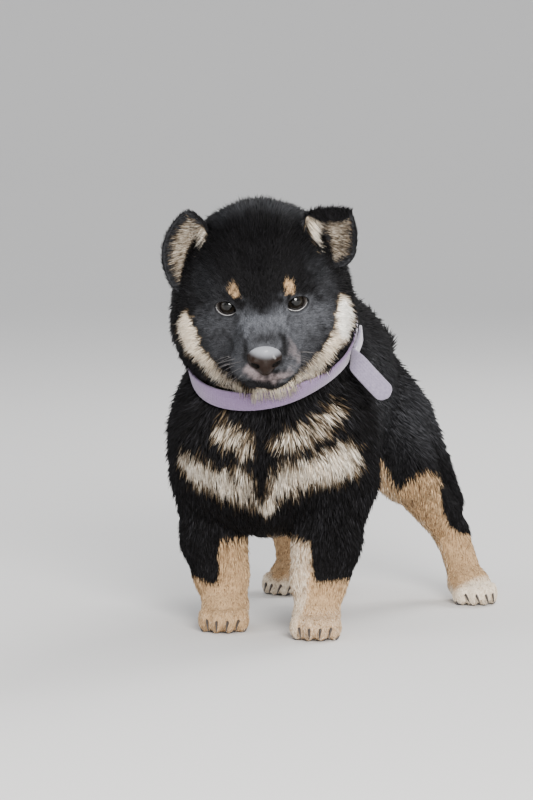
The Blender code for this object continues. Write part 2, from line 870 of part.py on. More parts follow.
def loose_meshes(obj):
    """The separate closed bodies of a mesh, largest first, as lists of face indices."""
    bm = bmesh.new()
    bm.from_mesh(obj.data)
    bm.verts.ensure_lookup_table()
    bm.faces.ensure_lookup_table()
    seen = set()
    pieces = []
    for start in bm.faces:
        if start.index in seen:
            continue
        seen.add(start.index)
        stack, piece = [start], []
        while stack:
            face = stack.pop()
            piece.append(face.index)
            for edge in face.edges:
                for other in edge.link_faces:
                    if other.index not in seen:
                        seen.add(other.index)
                        stack.append(other)
        pieces.append(piece)
    bm.free()
    return sorted(pieces, key=len, reverse=True)


def only_faces(mesh, keep):
    """A copy of a mesh with some of its faces."""
    bm = bmesh.new()
    bm.from_mesh(mesh)
    bm.faces.ensure_lookup_table()
    keep = set(keep)
    bmesh.ops.delete(bm, geom=[f for f in bm.faces if f.index not in keep], context="FACES")
    return bm


def keep_largest(obj, pieces):
    bm = only_faces(obj.data, pieces[0])
    bm.to_mesh(obj.data)
    bm.free()


def part_coat(coat, parts, cutters):
    """Cuts the coat at every blade and names each piece by the nearest anchor."""
    for cut in blades():
        cut_from(coat, blade(*cut, cutters))
    places = {name: mm(*place) for name, place in anchors().items()}
    for piece in loose_meshes(coat):
        bm = only_faces(coat.data, piece)
        middle = sum((v.co for v in bm.verts), Vector()) / len(bm.verts)
        if len(piece) < 60:
            bm.free()
            continue
        name = min(places, key=lambda key: (places[key] - middle).length)
        from_bmesh(name, bm, parts)
    bpy.data.objects.remove(coat)


# Locks of coat that hang over the band and down the breast


def band_point(angle, rise, offset):
    """A point at an angle from the throat, above the band's middle plane and outside the coat."""
    ring = girth(rise, BAND_SINK + offset, LOCK_RAYS)
    step = (90.0 - angle) / 360.0 * LOCK_RAYS
    first = int(math.floor(step))
    share = step - first
    return Vector(ring[first % LOCK_RAYS] * (1 - share) + ring[(first + 1) % LOCK_RAYS] * share)


def lock(name, path, outs, widths, thicknesses, collection):
    """A flat tapered lock along a path; outs point away from the body."""
    rings = []
    for index, (place, out) in enumerate(zip(path, outs)):
        before, after = path[max(index - 1, 0)], path[min(index + 1, len(path) - 1)]
        along = (after - before).normalized()
        thick = (out - along * out.dot(along)).normalized()
        wide = along.cross(thick)
        half, deep = widths[index] / 2 * MM, thicknesses[index] / 2 * MM
        rings.append([place + wide * half * a + thick * deep * b for a, b in LOCK_SECTION])
    return loft(name, rings, collection)


def ruff_locks(collection):
    """Locks along the jaw, from cheek to cheek, that hang over the band's upper half."""
    up = Vector(band_axes()[2])
    for index, angle in enumerate(np.linspace(*RUFF_SPREAD, RUFF_LOCKS)):
        drop = RUFF_DROPS[index % len(RUFF_DROPS)]
        sway = RUFF_SWAY * math.sin(1.7 * index)
        path, outs = [], []
        for rise, offset, share in zip(RUFF_RISES, RUFF_OFFSETS, LOCK_SHARES):
            place = band_point(angle + sway * share, rise - drop * share, offset)
            out = place - mm(*BAND_CENTRE)
            path.append(place)
            outs.append((out - up * out.dot(up)).normalized())
        lock(f"ruff_{index}", path, outs, RUFF_WIDTHS, RUFF_THICKNESSES, collection)


def breast_locks(collection):
    """Staggered locks down the front of the neck, above the breast."""
    body = torso_masses() + neck_masses()
    for index, (across, top, lean) in enumerate(BREAST_LOCKS):
        path, outs = [], []
        for share, offset in zip(LOCK_SHARES, BREAST_OFFSETS):
            start = mm(across + lean * share, BREAST_START, top - BREAST_LENGTH * share)
            place = Vector(settled(np.array([start]), body, (), level=offset * MM, rounds=40)[0])
            path.append(place)
            outs.append((place - mm(*CHEST_MIDDLE)).normalized())
        lock(f"breast_{index}", path, outs, BREAST_WIDTHS, BREAST_THICKNESSES, collection)


def fused(obj, locks):
    """Joins an object and a collection of locks into one closed surface and drops the locks."""
    whole = obj.data
    for solver in ("EXACT", "MANIFOLD"):
        obj.data = whole
        boolean = obj.modifiers.new("Fuse", "BOOLEAN")
        boolean.operation = "UNION"
        boolean.solver = solver
        boolean.operand_type = "COLLECTION"
        boolean.collection = locks
        applied(obj)
        if is_closed(obj.data):
            break
    for piece in list(locks.objects):
        bpy.data.objects.remove(piece)
    bpy.data.collections.remove(locks)
    keep_largest(obj, loose_meshes(obj))


def grow_locks(parts):
    """The ruff on the head and the breast locks on the neck."""
    for owner, make in (("head", ruff_locks), ("neck", breast_locks)):
        locks = bpy.data.collections.new(owner + "_locks")
        bpy.context.scene.collection.children.link(locks)
        make(locks)
        fused(parts.objects[owner], locks)


# Colour and finish of each node: base colour, roughness and metallic value
FINISHES = {
    "black_coat": ((0.020, 0.019, 0.023), 0.80, 0.0),
    "tan_coat": ((0.44, 0.27, 0.15), 0.85, 0.0),
    "dark_eye": ((0.012, 0.008, 0.006), 0.08, 0.0),
    "nose_leather": ((0.035, 0.028, 0.028), 0.45, 0.0),
    "lilac_band": ((0.40, 0.31, 0.50), 0.70, 0.0),
    "dark_claw": ((0.045, 0.036, 0.032), 0.40, 0.0),
}
FINISH_OF = {
    "eye": "dark_eye",
    "nose": "nose_leather",
    "neckband": "lilac_band",
    "strap": "lilac_band",
    "claw": "dark_claw",
    "forepaw": "tan_coat",
    "hindpaw": "tan_coat",
    "shank": "tan_coat",
}


def finish(obj):
    """A node's own material, and smooth shading with its sharp edges kept."""
    colour, roughness, metallic = FINISHES[FINISH_OF.get(obj.name.split("_")[0], "black_coat")]
    material = bpy.data.materials.new(obj.name)
    material.use_nodes = True
    shader = material.node_tree.nodes["Principled BSDF"]
    shader.inputs["Base Color"].default_value = (*colour, 1.0)
    shader.inputs["Roughness"].default_value = roughness
    shader.inputs["Metallic"].default_value = metallic
    obj.data.materials.clear()
    obj.data.materials.append(material)
    obj.data.shade_smooth()
    obj.data.set_sharp_from_angle(angle=math.radians(50))


def centre_on_origin(parts, cutters):
    """Moves everything so that the middle of the parts' box is over the origin, with its foot on it."""
    places = np.concatenate([coordinates(obj.data) for obj in parts.objects])
    low, high = places.min(axis=0), places.max(axis=0)
    shift = Vector((-(low[0] + high[0]) / 2, -(low[1] + high[1]) / 2, -low[2]))
    for obj in [*parts.objects, *cutters.objects]:
        obj.data.transform(Matrix.Translation(shift))
        obj.data.update()
    return shift


def main():
    clear_scene()
    parts = bpy.data.collections.new("shiba_puppy")
    cutters = bpy.data.collections.new("cutters")
    for collection in (parts, cutters):
        bpy.context.scene.collection.children.link(collection)
    coat = whole_coat(cutters)
    level_floor(coat, cutters)
    for name, side in SIDES.items():
        trimmed_to_coat(ear(name, side, parts), coat, cutters)
        eyeball("eye_" + name, side, EYE_DIAMETER / 2 * MM, parts)
    nose_leather(coat, parts, cutters)
    carve_mouth(coat, cutters)
    carve_eyes(coat, cutters)
    neckband(coat, parts, cutters)
    claws(coat, parts, cutters)
    part_coat(coat, parts, cutters)
    grow_locks(parts)
    for obj in parts.objects:
        finish(obj)
    return centre_on_origin(parts, cutters)


ORIGIN_SHIFT = main()
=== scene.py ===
"""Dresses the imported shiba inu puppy: skin, combed coat, eyes, nose, claws and neckband.

Sizes in the first tables are millimetres in the puppy's own frame: it faces -Y, its left is +X.
"""

import itertools
import json
import math

import bmesh
import bpy
import numpy as np
from mathutils import Euler, Matrix, Vector

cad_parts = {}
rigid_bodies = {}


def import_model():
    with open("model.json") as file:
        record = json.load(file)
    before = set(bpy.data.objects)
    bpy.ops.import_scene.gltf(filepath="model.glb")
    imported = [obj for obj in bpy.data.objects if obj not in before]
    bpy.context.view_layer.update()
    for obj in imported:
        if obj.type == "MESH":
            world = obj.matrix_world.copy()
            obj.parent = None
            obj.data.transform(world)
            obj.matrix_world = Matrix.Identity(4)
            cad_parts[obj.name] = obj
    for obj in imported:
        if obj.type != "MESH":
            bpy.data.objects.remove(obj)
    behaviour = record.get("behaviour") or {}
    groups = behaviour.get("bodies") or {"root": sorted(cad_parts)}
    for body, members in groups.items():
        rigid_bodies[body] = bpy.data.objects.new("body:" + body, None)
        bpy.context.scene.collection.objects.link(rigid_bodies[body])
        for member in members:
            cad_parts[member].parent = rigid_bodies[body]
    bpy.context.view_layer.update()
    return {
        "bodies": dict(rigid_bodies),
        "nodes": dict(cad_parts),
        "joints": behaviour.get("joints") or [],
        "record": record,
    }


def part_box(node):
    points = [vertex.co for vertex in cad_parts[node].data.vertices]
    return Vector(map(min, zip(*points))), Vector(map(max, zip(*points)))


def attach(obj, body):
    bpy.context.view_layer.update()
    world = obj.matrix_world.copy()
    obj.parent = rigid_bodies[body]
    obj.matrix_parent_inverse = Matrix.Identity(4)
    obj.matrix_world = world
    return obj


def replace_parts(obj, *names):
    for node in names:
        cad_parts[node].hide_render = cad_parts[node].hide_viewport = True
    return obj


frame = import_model()

MM = 0.001
SIDES = {"left": 1, "right": -1}


# The puppy's driving sizes, the same as in its solids

HEAD_WIDTH = 95.0
SHOULDER_WIDTH = 104.0
WITHERS_HEIGHT = 180.0
EYE_RADIUS = 7.0
EYE_SPACING = 31.5
EYE_DEPTH = 30.8
NOSE_WIDTH = 15.6
EAR_WIDTH = 26.5
EAR_HEIGHT = 41.5
EAR_DEPTH = 8.5
EAR_FOLDS = {"left": 9.5, "right": 0.0}
EAR_PLACES = {"left": (34.8, -11.5, 25.5), "right": (-33.5, -11.5, 22.5)}
EAR_LEANS = {"left": 5.0, "right": 3.0}
EAR_TAPERS = {"left": 0.05, "right": 0.30}
EAR_CORNERS = {"left": 2.8, "right": 2.0}
EAR_LOWS = {"left": 0.7, "right": 1.0}
FOLD_RADIUS = 2.6
FOLD_TURN = 150.0
BAND_WIDTH = 10.0
BAND_THICKNESS = 1.5
BAND_SINK = 2.4
STRAP_LENGTH = 28.0
CLAW_LENGTH = 6.0
HEAD_AT = (1.8, -62.0, 174.5)
HEAD_YAW, HEAD_PITCH, HEAD_ROLL = 20.0, 10.0, -4.0
FORE_PAWS = {"left": ((26.5, -50.0, 0.0), 17.0), "right": ((-25.5, -42.0, 0.0), 17.0)}
HIND_PAWS = {"left": ((65.0, 91.0, 0.0), 34.0), "right": ((-38.5, 93.0, 0.0), -2.0)}
HOCKS = {"left": (50.0, 106.0, 35.0), "right": (-44.0, 106.0, 35.0)}
FORE_PAW_SIZE, HIND_PAW_SIZE = 0.98, 0.93
BAND_CENTRE = (-0.5, -46.0, 143.5)
BAND_TILT = 33.0
TOE_SPREAD = (-9.4, -3.3, 3.3, 9.4)
TOE_REACH = (-10.5, -14.5, -14.5, -10.5)

# The joints of the forelegs: outwards from the middle of the chest, and up
FORE_MIDDLE = -3
ELBOW = (31.5, 45)
SHIN = (28, 28)
WRIST_HEIGHT = 13

# The joints of the hind legs: outwards from the middle of the hips, along and up
HIP_MIDDLE = (HOCKS["left"][0] + HOCKS["right"][0]) / 2
HIP = (16, 81, 104)
KNEE = (34, 63, 73)
BREECH = (22, 96, 98)

# The tail's middle line, with its radii
TAIL_LINE = [
    ((4, 98, 122), 14),
    ((1, 112, 134), 12.5),
    ((-9, 117, 144), 12),
    ((-21, 112, 149), 11.5),
    ((-31, 99, 147), 10.5),
    ((-36, 86, 140), 8.5),
    ((-38, 76, 132), 5.5),
]

# The camera stands where the photo was taken from: focus in pixels, turn in degrees
PHOTO_SIZE = (533, 800)
PHOTO_FOCUS = 3200.0
PHOTO_TURN = 20.0
CAMERA_DISTANCE = 1600.0
CAMERA_RISE = 250.0
AIM_DROP = 265.0
AIM_AT = (0.0, -45.0, 0.0)
AIM_ASIDE = 1.75


def mm(x, y, z):
    return Vector((x, y, z)) * MM


def turned(degrees):
    """The rotation that turns about X, then Y, then Z."""
    return Euler([math.radians(angle) for angle in degrees]).to_matrix().to_4x4()


HEAD_IN_BODY = (
    Matrix.Translation(mm(*HEAD_AT))
    @ turned((0, 0, HEAD_YAW))
    @ turned((HEAD_PITCH, 0, 0))
    @ turned((0, HEAD_ROLL, 0))
)


def eye_in_body(side):
    place = mm(side * EYE_SPACING / 2, -EYE_DEPTH, 0)
    return HEAD_IN_BODY @ Matrix.Translation(place) @ turned((4, 0, side * 14))


def middle_of(node):
    low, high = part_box(node)
    return (low + high) / 2


# The solids were moved so that their box stands on the origin; the eyes show by how much
SHIFT = sum((middle_of("eye_" + n) - eye_in_body(s).translation for n, s in SIDES.items()), Vector()) / 2
BODY = Matrix.Translation(SHIFT)
HEAD = BODY @ HEAD_IN_BODY


def eye_frame(side):
    return BODY @ eye_in_body(side)


def in_body(points):
    """World points in millimetres of the puppy's own frame."""
    return (points - np.array(SHIFT)) / MM


def in_frame(points, matrix):
    """World points in millimetres of a frame."""
    inverse = np.array(matrix.inverted())
    return (points @ inverse[:3, :3].T + inverse[:3, 3]) / MM


# Masses and the smooth field that they make


def lump(centre, radii, turn=(0, 0, 0), blend=6.0, frame=BODY):
    matrix = frame @ Matrix.Translation(mm(*centre)) @ turned(turn)
    return {
        "matrix": matrix,
        "centre": np.array(matrix.translation),
        "axes": np.array(matrix.to_3x3()),
        "radii": np.array(radii) * MM,
        "reach": max(radii) * MM,
        "blend": blend * MM,
    }


def rod(start, end, start_radius, end_radius, blend=6.0, frame=BODY):
    a, b = np.array(frame @ mm(*start)), np.array(frame @ mm(*end))
    return {
        "start": a,
        "end": b,
        "ends": (start_radius * MM, end_radius * MM),
        "centre": (a + b) / 2,
        "reach": np.linalg.norm(b - a) / 2 + max(start_radius, end_radius) * MM,
        "blend": blend * MM,
    }


def distance(mass, points):
    """Roughly how far each point is outside a mass."""
    if "radii" in mass:
        local = (points - mass["centre"]) @ mass["axes"]
        scaled = np.linalg.norm(local / mass["radii"], axis=1)
        slope = np.linalg.norm(local / mass["radii"] ** 2, axis=1)
        return scaled * (scaled - 1.0) / np.maximum(slope, 1e-9)
    along = mass["end"] - mass["start"]
    share = np.clip((points - mass["start"]) @ along / (along @ along), 0.0, 1.0)
    nearest = mass["start"] + share[:, None] * along
    first, last = mass["ends"]
    return np.linalg.norm(points - nearest, axis=1) - (first + (last - first) * share)


def smooth_least(a, b, blend):
    overlap = np.maximum(blend - np.abs(a - b), 0.0) / blend
    return np.minimum(a, b) - overlap**2 * blend / 4.0


def field(points, masses, hollows=(), depth=0.0):
    """How far each point is outside the blended masses shrunk by a depth, less the hollows."""
    value = np.full(len(points), 0.2)
    for mass in masses:
        away = np.linalg.norm(points - mass["centre"], axis=1) - mass["reach"]
        near = np.nonzero(away * 0.5 < value + mass["blend"])[0]
        if len(near):
            value[near] = smooth_least(value[near], distance(mass, points[near]), mass["blend"])
    value = value + depth
    for hollow in hollows:
        away = np.linalg.norm(points - hollow["centre"], axis=1)
        near = np.nonzero(away < hollow["reach"] * 2 + 4 * MM)[0]
        if len(near):
            value[near] = -smooth_least(-value[near], distance(hollow, points[near]), hollow["blend"])
    return value


def slope_of(points, masses, hollows=(), depth=0.0):
    """The field and its slope."""
    step = 0.05 * MM
    value = field(points, masses, hollows, depth)
    rises = [field(points + step * axis, masses, hollows, depth) - value for axis in np.eye(3)]
    return value, np.stack(rises, axis=1) / step


def settled(points, masses, hollows=(), depth=0.0, rounds=6):
    """Points moved along the field's slope until they lie on its surface."""
    for _ in range(rounds):
        value, slope = slope_of(points, masses, hollows, depth)
        steepness = np.maximum((slope**2).sum(1), 0.2)
        move = -slope * (value / steepness)[:, None]
        size = np.maximum(np.linalg.norm(move, axis=1), 1e-12)
        points = points + move * np.minimum(1.0, 1.2 * MM / size)[:, None]
    return points


# The puppy's masses


def torso_masses():
    half = SHOULDER_WIDTH / 2
    return [
        lump((-3, -36, 96), (half - 4, 43, 50), blend=12),
        lump((-2, 6, 117), (half - 10, 52, WITHERS_HEIGHT - 118), blend=14),
        lump((1, 42, 117), (37, 44, 54), blend=14),
        lump((4, 78, 108), (29, 34, 38), blend=12),
        rod((-3, -18, 128), (1, -52, 150), 45, 41, blend=12),
        lump((-1, -20, 158), (34, 36, 25), turn=(-12, 0, 0), blend=14),
        lump((-3, -62, 104), (40, 22, 30), turn=(-20, 0, 0), blend=10),
    ]


def tail_masses():
    pairs = zip(TAIL_LINE[:-1], TAIL_LINE[1:])
    return [rod(a, b, ra, rb, blend=7) for (a, ra), (b, rb) in pairs]


def behind(foot, heading, back, height):
    """A place behind a paw, on the line along which it points."""
    turn = math.radians(heading)
    return foot[0] - back * math.sin(turn), foot[1] + back * math.cos(turn), height


def foreleg_masses(name):
    side = SIDES[name]
    foot, heading = FORE_PAWS[name]
    wrist = behind(foot, heading, 9.0, WRIST_HEIGHT)
    shoulder = FORE_MIDDLE + side * (SHOULDER_WIDTH / 2 - 22)
    elbow, shin = ((FORE_MIDDLE + side * out, wrist[1], height) for out, height in (ELBOW, SHIN))
    return [
        lump((shoulder, -32, 96), (25, 32, 42), blend=12),
        rod((shoulder + side * 5, -31, 76), elbow, 20.5, 17, blend=8),
        rod(elbow, shin, 17, 14.5, blend=8),
        rod(shin, wrist, 14.5, 12.2, blend=6),
        *paw_masses(foot, FORE_PAW_SIZE, heading),
    ]


def hindleg_masses(name):
    side, hock = SIDES[name], HOCKS[name]
    foot, heading = HIND_PAWS[name]
    hip, knee, breech = ((HIP_MIDDLE + side * out, *rest) for out, *rest in (HIP, KNEE, BREECH))
    return [
        rod(hip, knee, 22, 17, blend=12),
        rod(breech, (hock[0] - side * 3, 106, 53), 18, 10.5, blend=10),
        rod(knee, hock, 16, 9.8, blend=9),
        rod(hock, behind(foot, heading, 7.0, 11.5), 10.2, 10, blend=5),
        *paw_masses(foot, HIND_PAW_SIZE, heading),
    ]


def paw_frame(place, heading):
    return BODY @ Matrix.Translation(mm(*place)) @ turned((0, 0, heading))


def paw_masses(place, size, heading):
    """The ball of a paw and its four toes."""
    own = paw_frame(place, heading)
    masses = [lump((0, size, 10 * size), (13 * size, 14.5 * size, 11.2 * size), blend=5, frame=own)]
    for across, reach in zip(TOE_SPREAD, TOE_REACH):
        centre = (across * size, reach * size, 6.2 * size)
        radii = (4.4 * size, 8.2 * size, 7.3 * size)
        masses.append(lump(centre, radii, (0, 0, -across * 1.2), 2.0, own))
    return masses


def head_masses():
    half = HEAD_WIDTH / 2

    def bulk(centre, radii, turn=(0, 0, 0), blend=6.0):
        return lump(centre, radii, turn, blend, HEAD)

    masses = [
        bulk((0, 5, 3), (half - 3, 43, 40)),
        bulk((0, -9, 16), (30.5, 29, 31), blend=10),
        bulk((0, -7, -15), (half - 0.5, 34, 37), blend=12),
        rod((0, -24, -15.5), (0, -47, -21), 23, 16, blend=10, frame=HEAD),
        rod((0, -30, -6), (0, -54, -15.5), 12.5, 10.5, blend=8, frame=HEAD),
        bulk((0, -44, -33.5), (13, 16.5, 7.2), blend=2.5),
    ]
    for side in SIDES.values():
        masses += [
            bulk((side * 22, -24, -19), (17, 17, 18), blend=10),
            bulk((side * 14, -28, 9.5), (11.5, 7.5, 6.5), blend=9),
            bulk((side * 7.5, -49, -25.5), (10.5, 12.5, 8.8), turn=(8, 0, side * 14), blend=5),
            lump((0, 0, 0), (8.9, 8.3, 8.4), blend=3, frame=eye_frame(side)),
        ]
    return masses


def dog_masses():
    masses = torso_masses() + tail_masses()
    for name in SIDES:
        masses += foreleg_masses(name) + hindleg_masses(name)
    return masses + head_masses()


def nose_masses():
    wide = NOSE_WIDTH / 2

    def bulk(centre, radii, turn=(0, 0, 0), blend=2.5):
        return lump(centre, radii, turn, blend, HEAD)

    masses = [
        bulk((0, -59, -18.2), (wide, 7.5, 5.2), turn=(-12, 0, 0)),
        bulk((0, -61.5, -23.6), (4.3, 5.4, 5.4), blend=3),
    ]
    for side in SIDES.values():
        masses.append(bulk((side * 5.0, -60.5, -21.2), (3.2, 5.8, 4.1), turn=(0, side * 20, 0)))
    return masses


def nostril_hollows():
    hollows = [rod((0, -67.6, -21.6), (0, -66.8, -30), 0.45, 0.6, blend=0.6, frame=HEAD)]
    for side in SIDES.values():
        middle = (side * 4.9 + 0.5, -64.4, -22.8)
        hollows.append(lump(middle, (2.2, 4.0, 0.95), (0, -side * 28, side * 8), 0.4, HEAD))
    return hollows


MASSES = dog_masses()


# Where the photo shows a place on the coat


def camera_axes():
    """The camera's place and its right, forward and upward directions."""
    turn = math.radians(PHOTO_TURN)
    right = Vector((math.cos(turn), math.sin(turn), 0))
    level = Vector((-math.sin(turn), math.cos(turn), 0))
    aim = SHIFT + mm(*AIM_AT) - right * AIM_ASIDE * MM
    place = aim - level * CAMERA_DISTANCE * MM + mm(0, 0, CAMERA_RISE)
    pitch = math.atan(AIM_DROP / PHOTO_FOCUS)
    ahead = level * math.cos(pitch) - Vector((0, 0, math.sin(pitch)))
    return place, right, ahead, right.cross(ahead)


def photo_place(points):
    """The pixels of the photo at which points stand."""
    place, right, ahead, up = (np.array(v) for v in camera_axes())
    away = points - place
    depth = away @ ahead
    across = PHOTO_SIZE[0] / 2 + PHOTO_FOCUS * (away @ right) / depth
    down = PHOTO_SIZE[1] / 2 - PHOTO_FOCUS * (away @ up) / depth
    return across, down


def seen_at(pixels):
    """The first place on the coat behind each pixel of the photo."""
    place, right, ahead, up = (np.array(v) for v in camera_axes())
    pixels = np.array(pixels, float)
    across = (pixels[:, 0] - PHOTO_SIZE[0] / 2) / PHOTO_FOCUS
    rise = (PHOTO_SIZE[1] / 2 - pixels[:, 1]) / PHOTO_FOCUS
    rays = ahead + across[:, None] * right + rise[:, None] * up
    reach = np.arange(1.40, 1.85, 0.001)
    points = place + rays[:, None, :] * reach[None, :, None]
    inside = field(points.reshape(-1, 3), MASSES).reshape(len(pixels), -1) < 0
    first = reach[inside.argmax(axis=1)]
    return place + rays * first[:, None]


# How the coat is combed: place, lie, hair length, lift in degrees and depth, in millimetres

HEAD_COMB = [
    ((0, -58, -12), (0, 0.9, 0.45), 1.5, 10, 0.8),
    ((0, -44, -4), (0, 0.85, 0.5), 1.8, 12, 1.1),
    ((0, -37, 6), (0, 0.35, 0.95), 2.6, 16, 1.6),
    ((0, -38, 22), (0, 0.3, 0.95), 4.6, 26, 2.6),
    ((0, -26, 38), (0, 0.8, 0.6), 6.5, 34, 3.6),
    ((0, -2, 48), (0, 1, 0), 7.5, 34, 4.0),
    ((0, 26, 42), (0, 0.85, -0.5), 7.5, 30, 4.0),
    ((0, 46, 12), (0, 0.4, -0.9), 8, 25, 4.2),
    ((25, -14, 38), (0.65, 0.5, 0.3), 6.5, 32, 3.6),
    ((26, 24, 32), (0.5, 0.8, -0.35), 7.5, 30, 4.0),
    ((13, -35, 14), (0.45, 0.25, 0.85), 2.6, 18, 1.5),
    ((27, -27, 14), (0.8, 0.45, 0.4), 3.8, 22, 2.2),
    ((29, -25, 1), (0.85, 0.5, 0.05), 3.2, 16, 1.6),
    ((18, -38, -10), (0.8, 0.6, -0.1), 1.8, 12, 1.1),
    ((13, -50, -20), (0.45, 0.88, -0.1), 1.6, 10, 0.9),
    ((8, -60, -28), (0.75, 0.6, -0.3), 1.4, 12, 0.8),
    ((0, -60, -37), (0, 0.2, -1), 2.6, 20, 1.2),
    ((12, -50, -38), (0.4, 0.5, -0.75), 2.6, 20, 1.3),
    ((0, -44, -41), (0, 0.5, -0.85), 5.0, 30, 2.0),
    ((34, -28, -12), (0.7, 0.6, -0.4), 3.6, 20, 2.0),
    ((43, -12, -16), (0.55, 0.6, -0.6), 6.0, 30, 3.3),
    ((46, 4, 4), (0.3, 0.85, -0.45), 6.5, 26, 3.4),
    ((40, 2, 26), (0.5, 0.75, 0.1), 5.5, 26, 3.0),
    ((27, -34, -36), (0.5, 0.25, -0.8), 5.5, 30, 2.8),
    ((38, -12, -38), (0.4, 0.35, -0.85), 7.5, 32, 3.6),
    ((18, -30, -48), (0.25, 0.25, -0.95), 8.0, 34, 3.6),
    ((0, -28, -50), (0, 0.3, -0.95), 8.0, 34, 3.6),
    ((44, 22, -10), (0.2, 0.8, -0.6), 7.5, 28, 3.8),
]
BODY_COMB = [
    ((-1, -8, 180), (0, 0.9, -0.3), 9, 26, 4.6),
    ((-2, 20, 179), (0, 1, -0.1), 9, 22, 4.4),
    ((2, 60, 168), (0, 1, -0.15), 8.5, 22, 4.2),
    ((4, 96, 146), (0, 0.8, -0.6), 8.5, 24, 4.2),
    ((44, -28, 150), (0.15, 0.6, -0.75), 9, 28, 4.6),
    ((-3, -86, 118), (0, -0.1, -1), 9, 32, 4.6),
    ((18, -84, 108), (-0.3, 0, -1), 9, 34, 4.6),
    ((34, -70, 112), (0.35, 0.2, -0.9), 9, 34, 4.6),
    ((-3, -80, 84), (0, 0.1, -1), 9.5, 34, 4.6),
    ((47, -40, 104), (0.1, 0.4, -0.9), 8.5, 26, 4.4),
    ((44, 8, 130), (0.05, 0.85, -0.5), 8.5, 22, 4.2),
    ((40, 12, 96), (0, 0.8, -0.6), 8, 22, 4.0),
    ((37, 46, 120), (0, 0.8, -0.55), 8, 22, 4.0),
    ((-1, 0, 62), (0, 1, -0.05), 5, 18, 2.6),
    ((0, 40, 66), (0, 1, 0.1), 5, 18, 2.6),
    ((32, 80, 128), (0.1, 0.6, -0.75), 8, 24, 4.0),
    ((42, 76, 100), (0.1, 0.35, -0.9), 7.5, 22, 3.8),
    ((22, 112, 96), (0.1, 0.3, -0.95), 8.5, 32, 4.0),
    ((4, 112, 104), (0, 0.2, -1), 6.5, 28, 3.2),
    ((42, 52, 74), (0.1, 0.2, -0.95), 6, 20, 3.0),
    ((24, 78, 66), (-0.1, 0.3, -0.95), 4, 18, 2.4),
    ((44, 96, 58), (0, 0.3, -0.95), 5, 20, 2.6),
    ((38, -50, 66), (0.05, 0.1, -1), 7, 24, 3.6),
    ((22, -36, 62), (-0.1, 0.1, -1), 5, 20, 2.8),
    ((30, -30, 44), (0, 0.1, -1), 5.5, 24, 2.8),
    ((30, -42, 30), (0, 0, -1), 3.6, 18, 1.9),
]
PAW_COMB = [
    ((0, -12, 17), (0, -0.85, -0.5), 1.9, 14, 1.0),
    ((0, -20, 10), (0, -0.4, -0.9), 1.6, 14, 0.8),
    ((12, -8, 8), (0.3, -0.6, -0.7), 1.8, 14, 0.9),
    ((0, 4, 22), (0, -0.25, -0.95), 2.6, 14, 1.4),
    ((0, 14, 8), (0, 0.1, -1), 2.8, 16, 1.4),
]
HOCK_COMB = [
    ((9, -4, 40), (0, -0.1, -1), 3.4, 16, 1.8),
    ((0, 9, 44), (0, 0.2, -1), 4.0, 20, 2.0),
    ((-2, -11, 36), (0, -0.1, -1), 3.0, 14, 1.5),
    ((4, -4, 24), (0, -0.1, -1), 2.8, 14, 1.4),
]

# Rows of the body this near its middle stand once, the others on both sides of these middles
MIDDLE_WIDTH = 5
REAR_MIDDLE = 3

# The tail's hair: its length, its lift and the most of its depth
TAIL_HAIR = (9.5, 30, 4.4)


def mirrored(rows, middle=0):
    """Each row and, if it stands beside the middle, the same on the other side."""
    for (x, y, z), (lie_x, lie_y, lie_z), *rest in rows:
        for side in (1, -1) if abs(x) > middle else (1,):
            yield ((side * x, y, z), (side * lie_x, lie_y, lie_z), *rest)


def body_rows():
    for (x, y, z), *rest in mirrored(BODY_COMB, MIDDLE_WIDTH):
        middle = FORE_MIDDLE if y < 0 else REAR_MIDDLE
        yield ((x + middle if abs(x) > MIDDLE_WIDTH else x, y, z), *rest)


def hock_rows():
    for name, side in SIDES.items():
        hock = HOCKS[name]
        for (out, along, height), *rest in HOCK_COMB:
            yield ((hock[0] + side * out, hock[1] + along, height), *rest)


def tail_rows():
    hair, lift, depth = TAIL_HAIR
    up = Vector((0, 0, 1))
    for (before, radius), (after, _) in zip(TAIL_LINE[:-1], TAIL_LINE[1:]):
        along = Vector(after) - Vector(before)
        aside = along.cross(up)
        for around in (up, -up, aside, -aside):
            place = Vector(before) + around.normalized() * radius
            yield (place, along, hair, lift, min(depth, radius * 0.5))


def comb_rows():
    """Every combing place in the world, with its direction, length, lift and depth."""
    rows = []

    def add(own, places):
        for place, lie, *rest in places:
            rows.append((*(own @ mm(*place)), *(own.to_3x3() @ Vector(lie).normalized()), *rest))

    add(HEAD, mirrored(HEAD_COMB))
    add(BODY, body_rows())
    for paws, size in ((FORE_PAWS, FORE_PAW_SIZE), (HIND_PAWS, HIND_PAW_SIZE)):
        for foot, heading in paws.values():
            places = (([size * at for at in place], *rest) for place, *rest in mirrored(PAW_COMB))
            add(paw_frame(foot, heading), places)
    add(BODY, hock_rows())
    add(BODY, tail_rows())
    return np.array(rows)


COMB = comb_rows()


def unit(vectors):
    """Rows made one unit long."""
    return vectors / np.maximum(np.linalg.norm(vectors, axis=1), 1e-9)[:, None]


def combed(points):
    """Unit lie, hair length, lift and depth at points, blended from the combing places."""
    gathered = []
    for start in range(0, len(points), 20000):
        some = points[start : start + 20000]
        away = np.linalg.norm(some[:, None, :] - COMB[None, :, :3], axis=2) / MM
        weight = 1.0 / (away + 2.0) ** 4
        gathered.append(weight @ COMB[:, 3:] / weight.sum(axis=1)[:, None])
    table = np.concatenate(gathered)
    return unit(table[:, :3]), table[:, 3] * MM, np.radians(table[:, 4]), table[:, 5] * MM


# Blender helpers

SCENE = bpy.context.scene


def new_object(name, mesh):
    obj = bpy.data.objects.new(name, mesh)
    SCENE.collection.objects.link(obj)
    return obj


def from_bmesh(name, bm):
    mesh = bpy.data.meshes.new(name)
    bm.to_mesh(mesh)
    bm.free()
    return new_object(name, mesh)


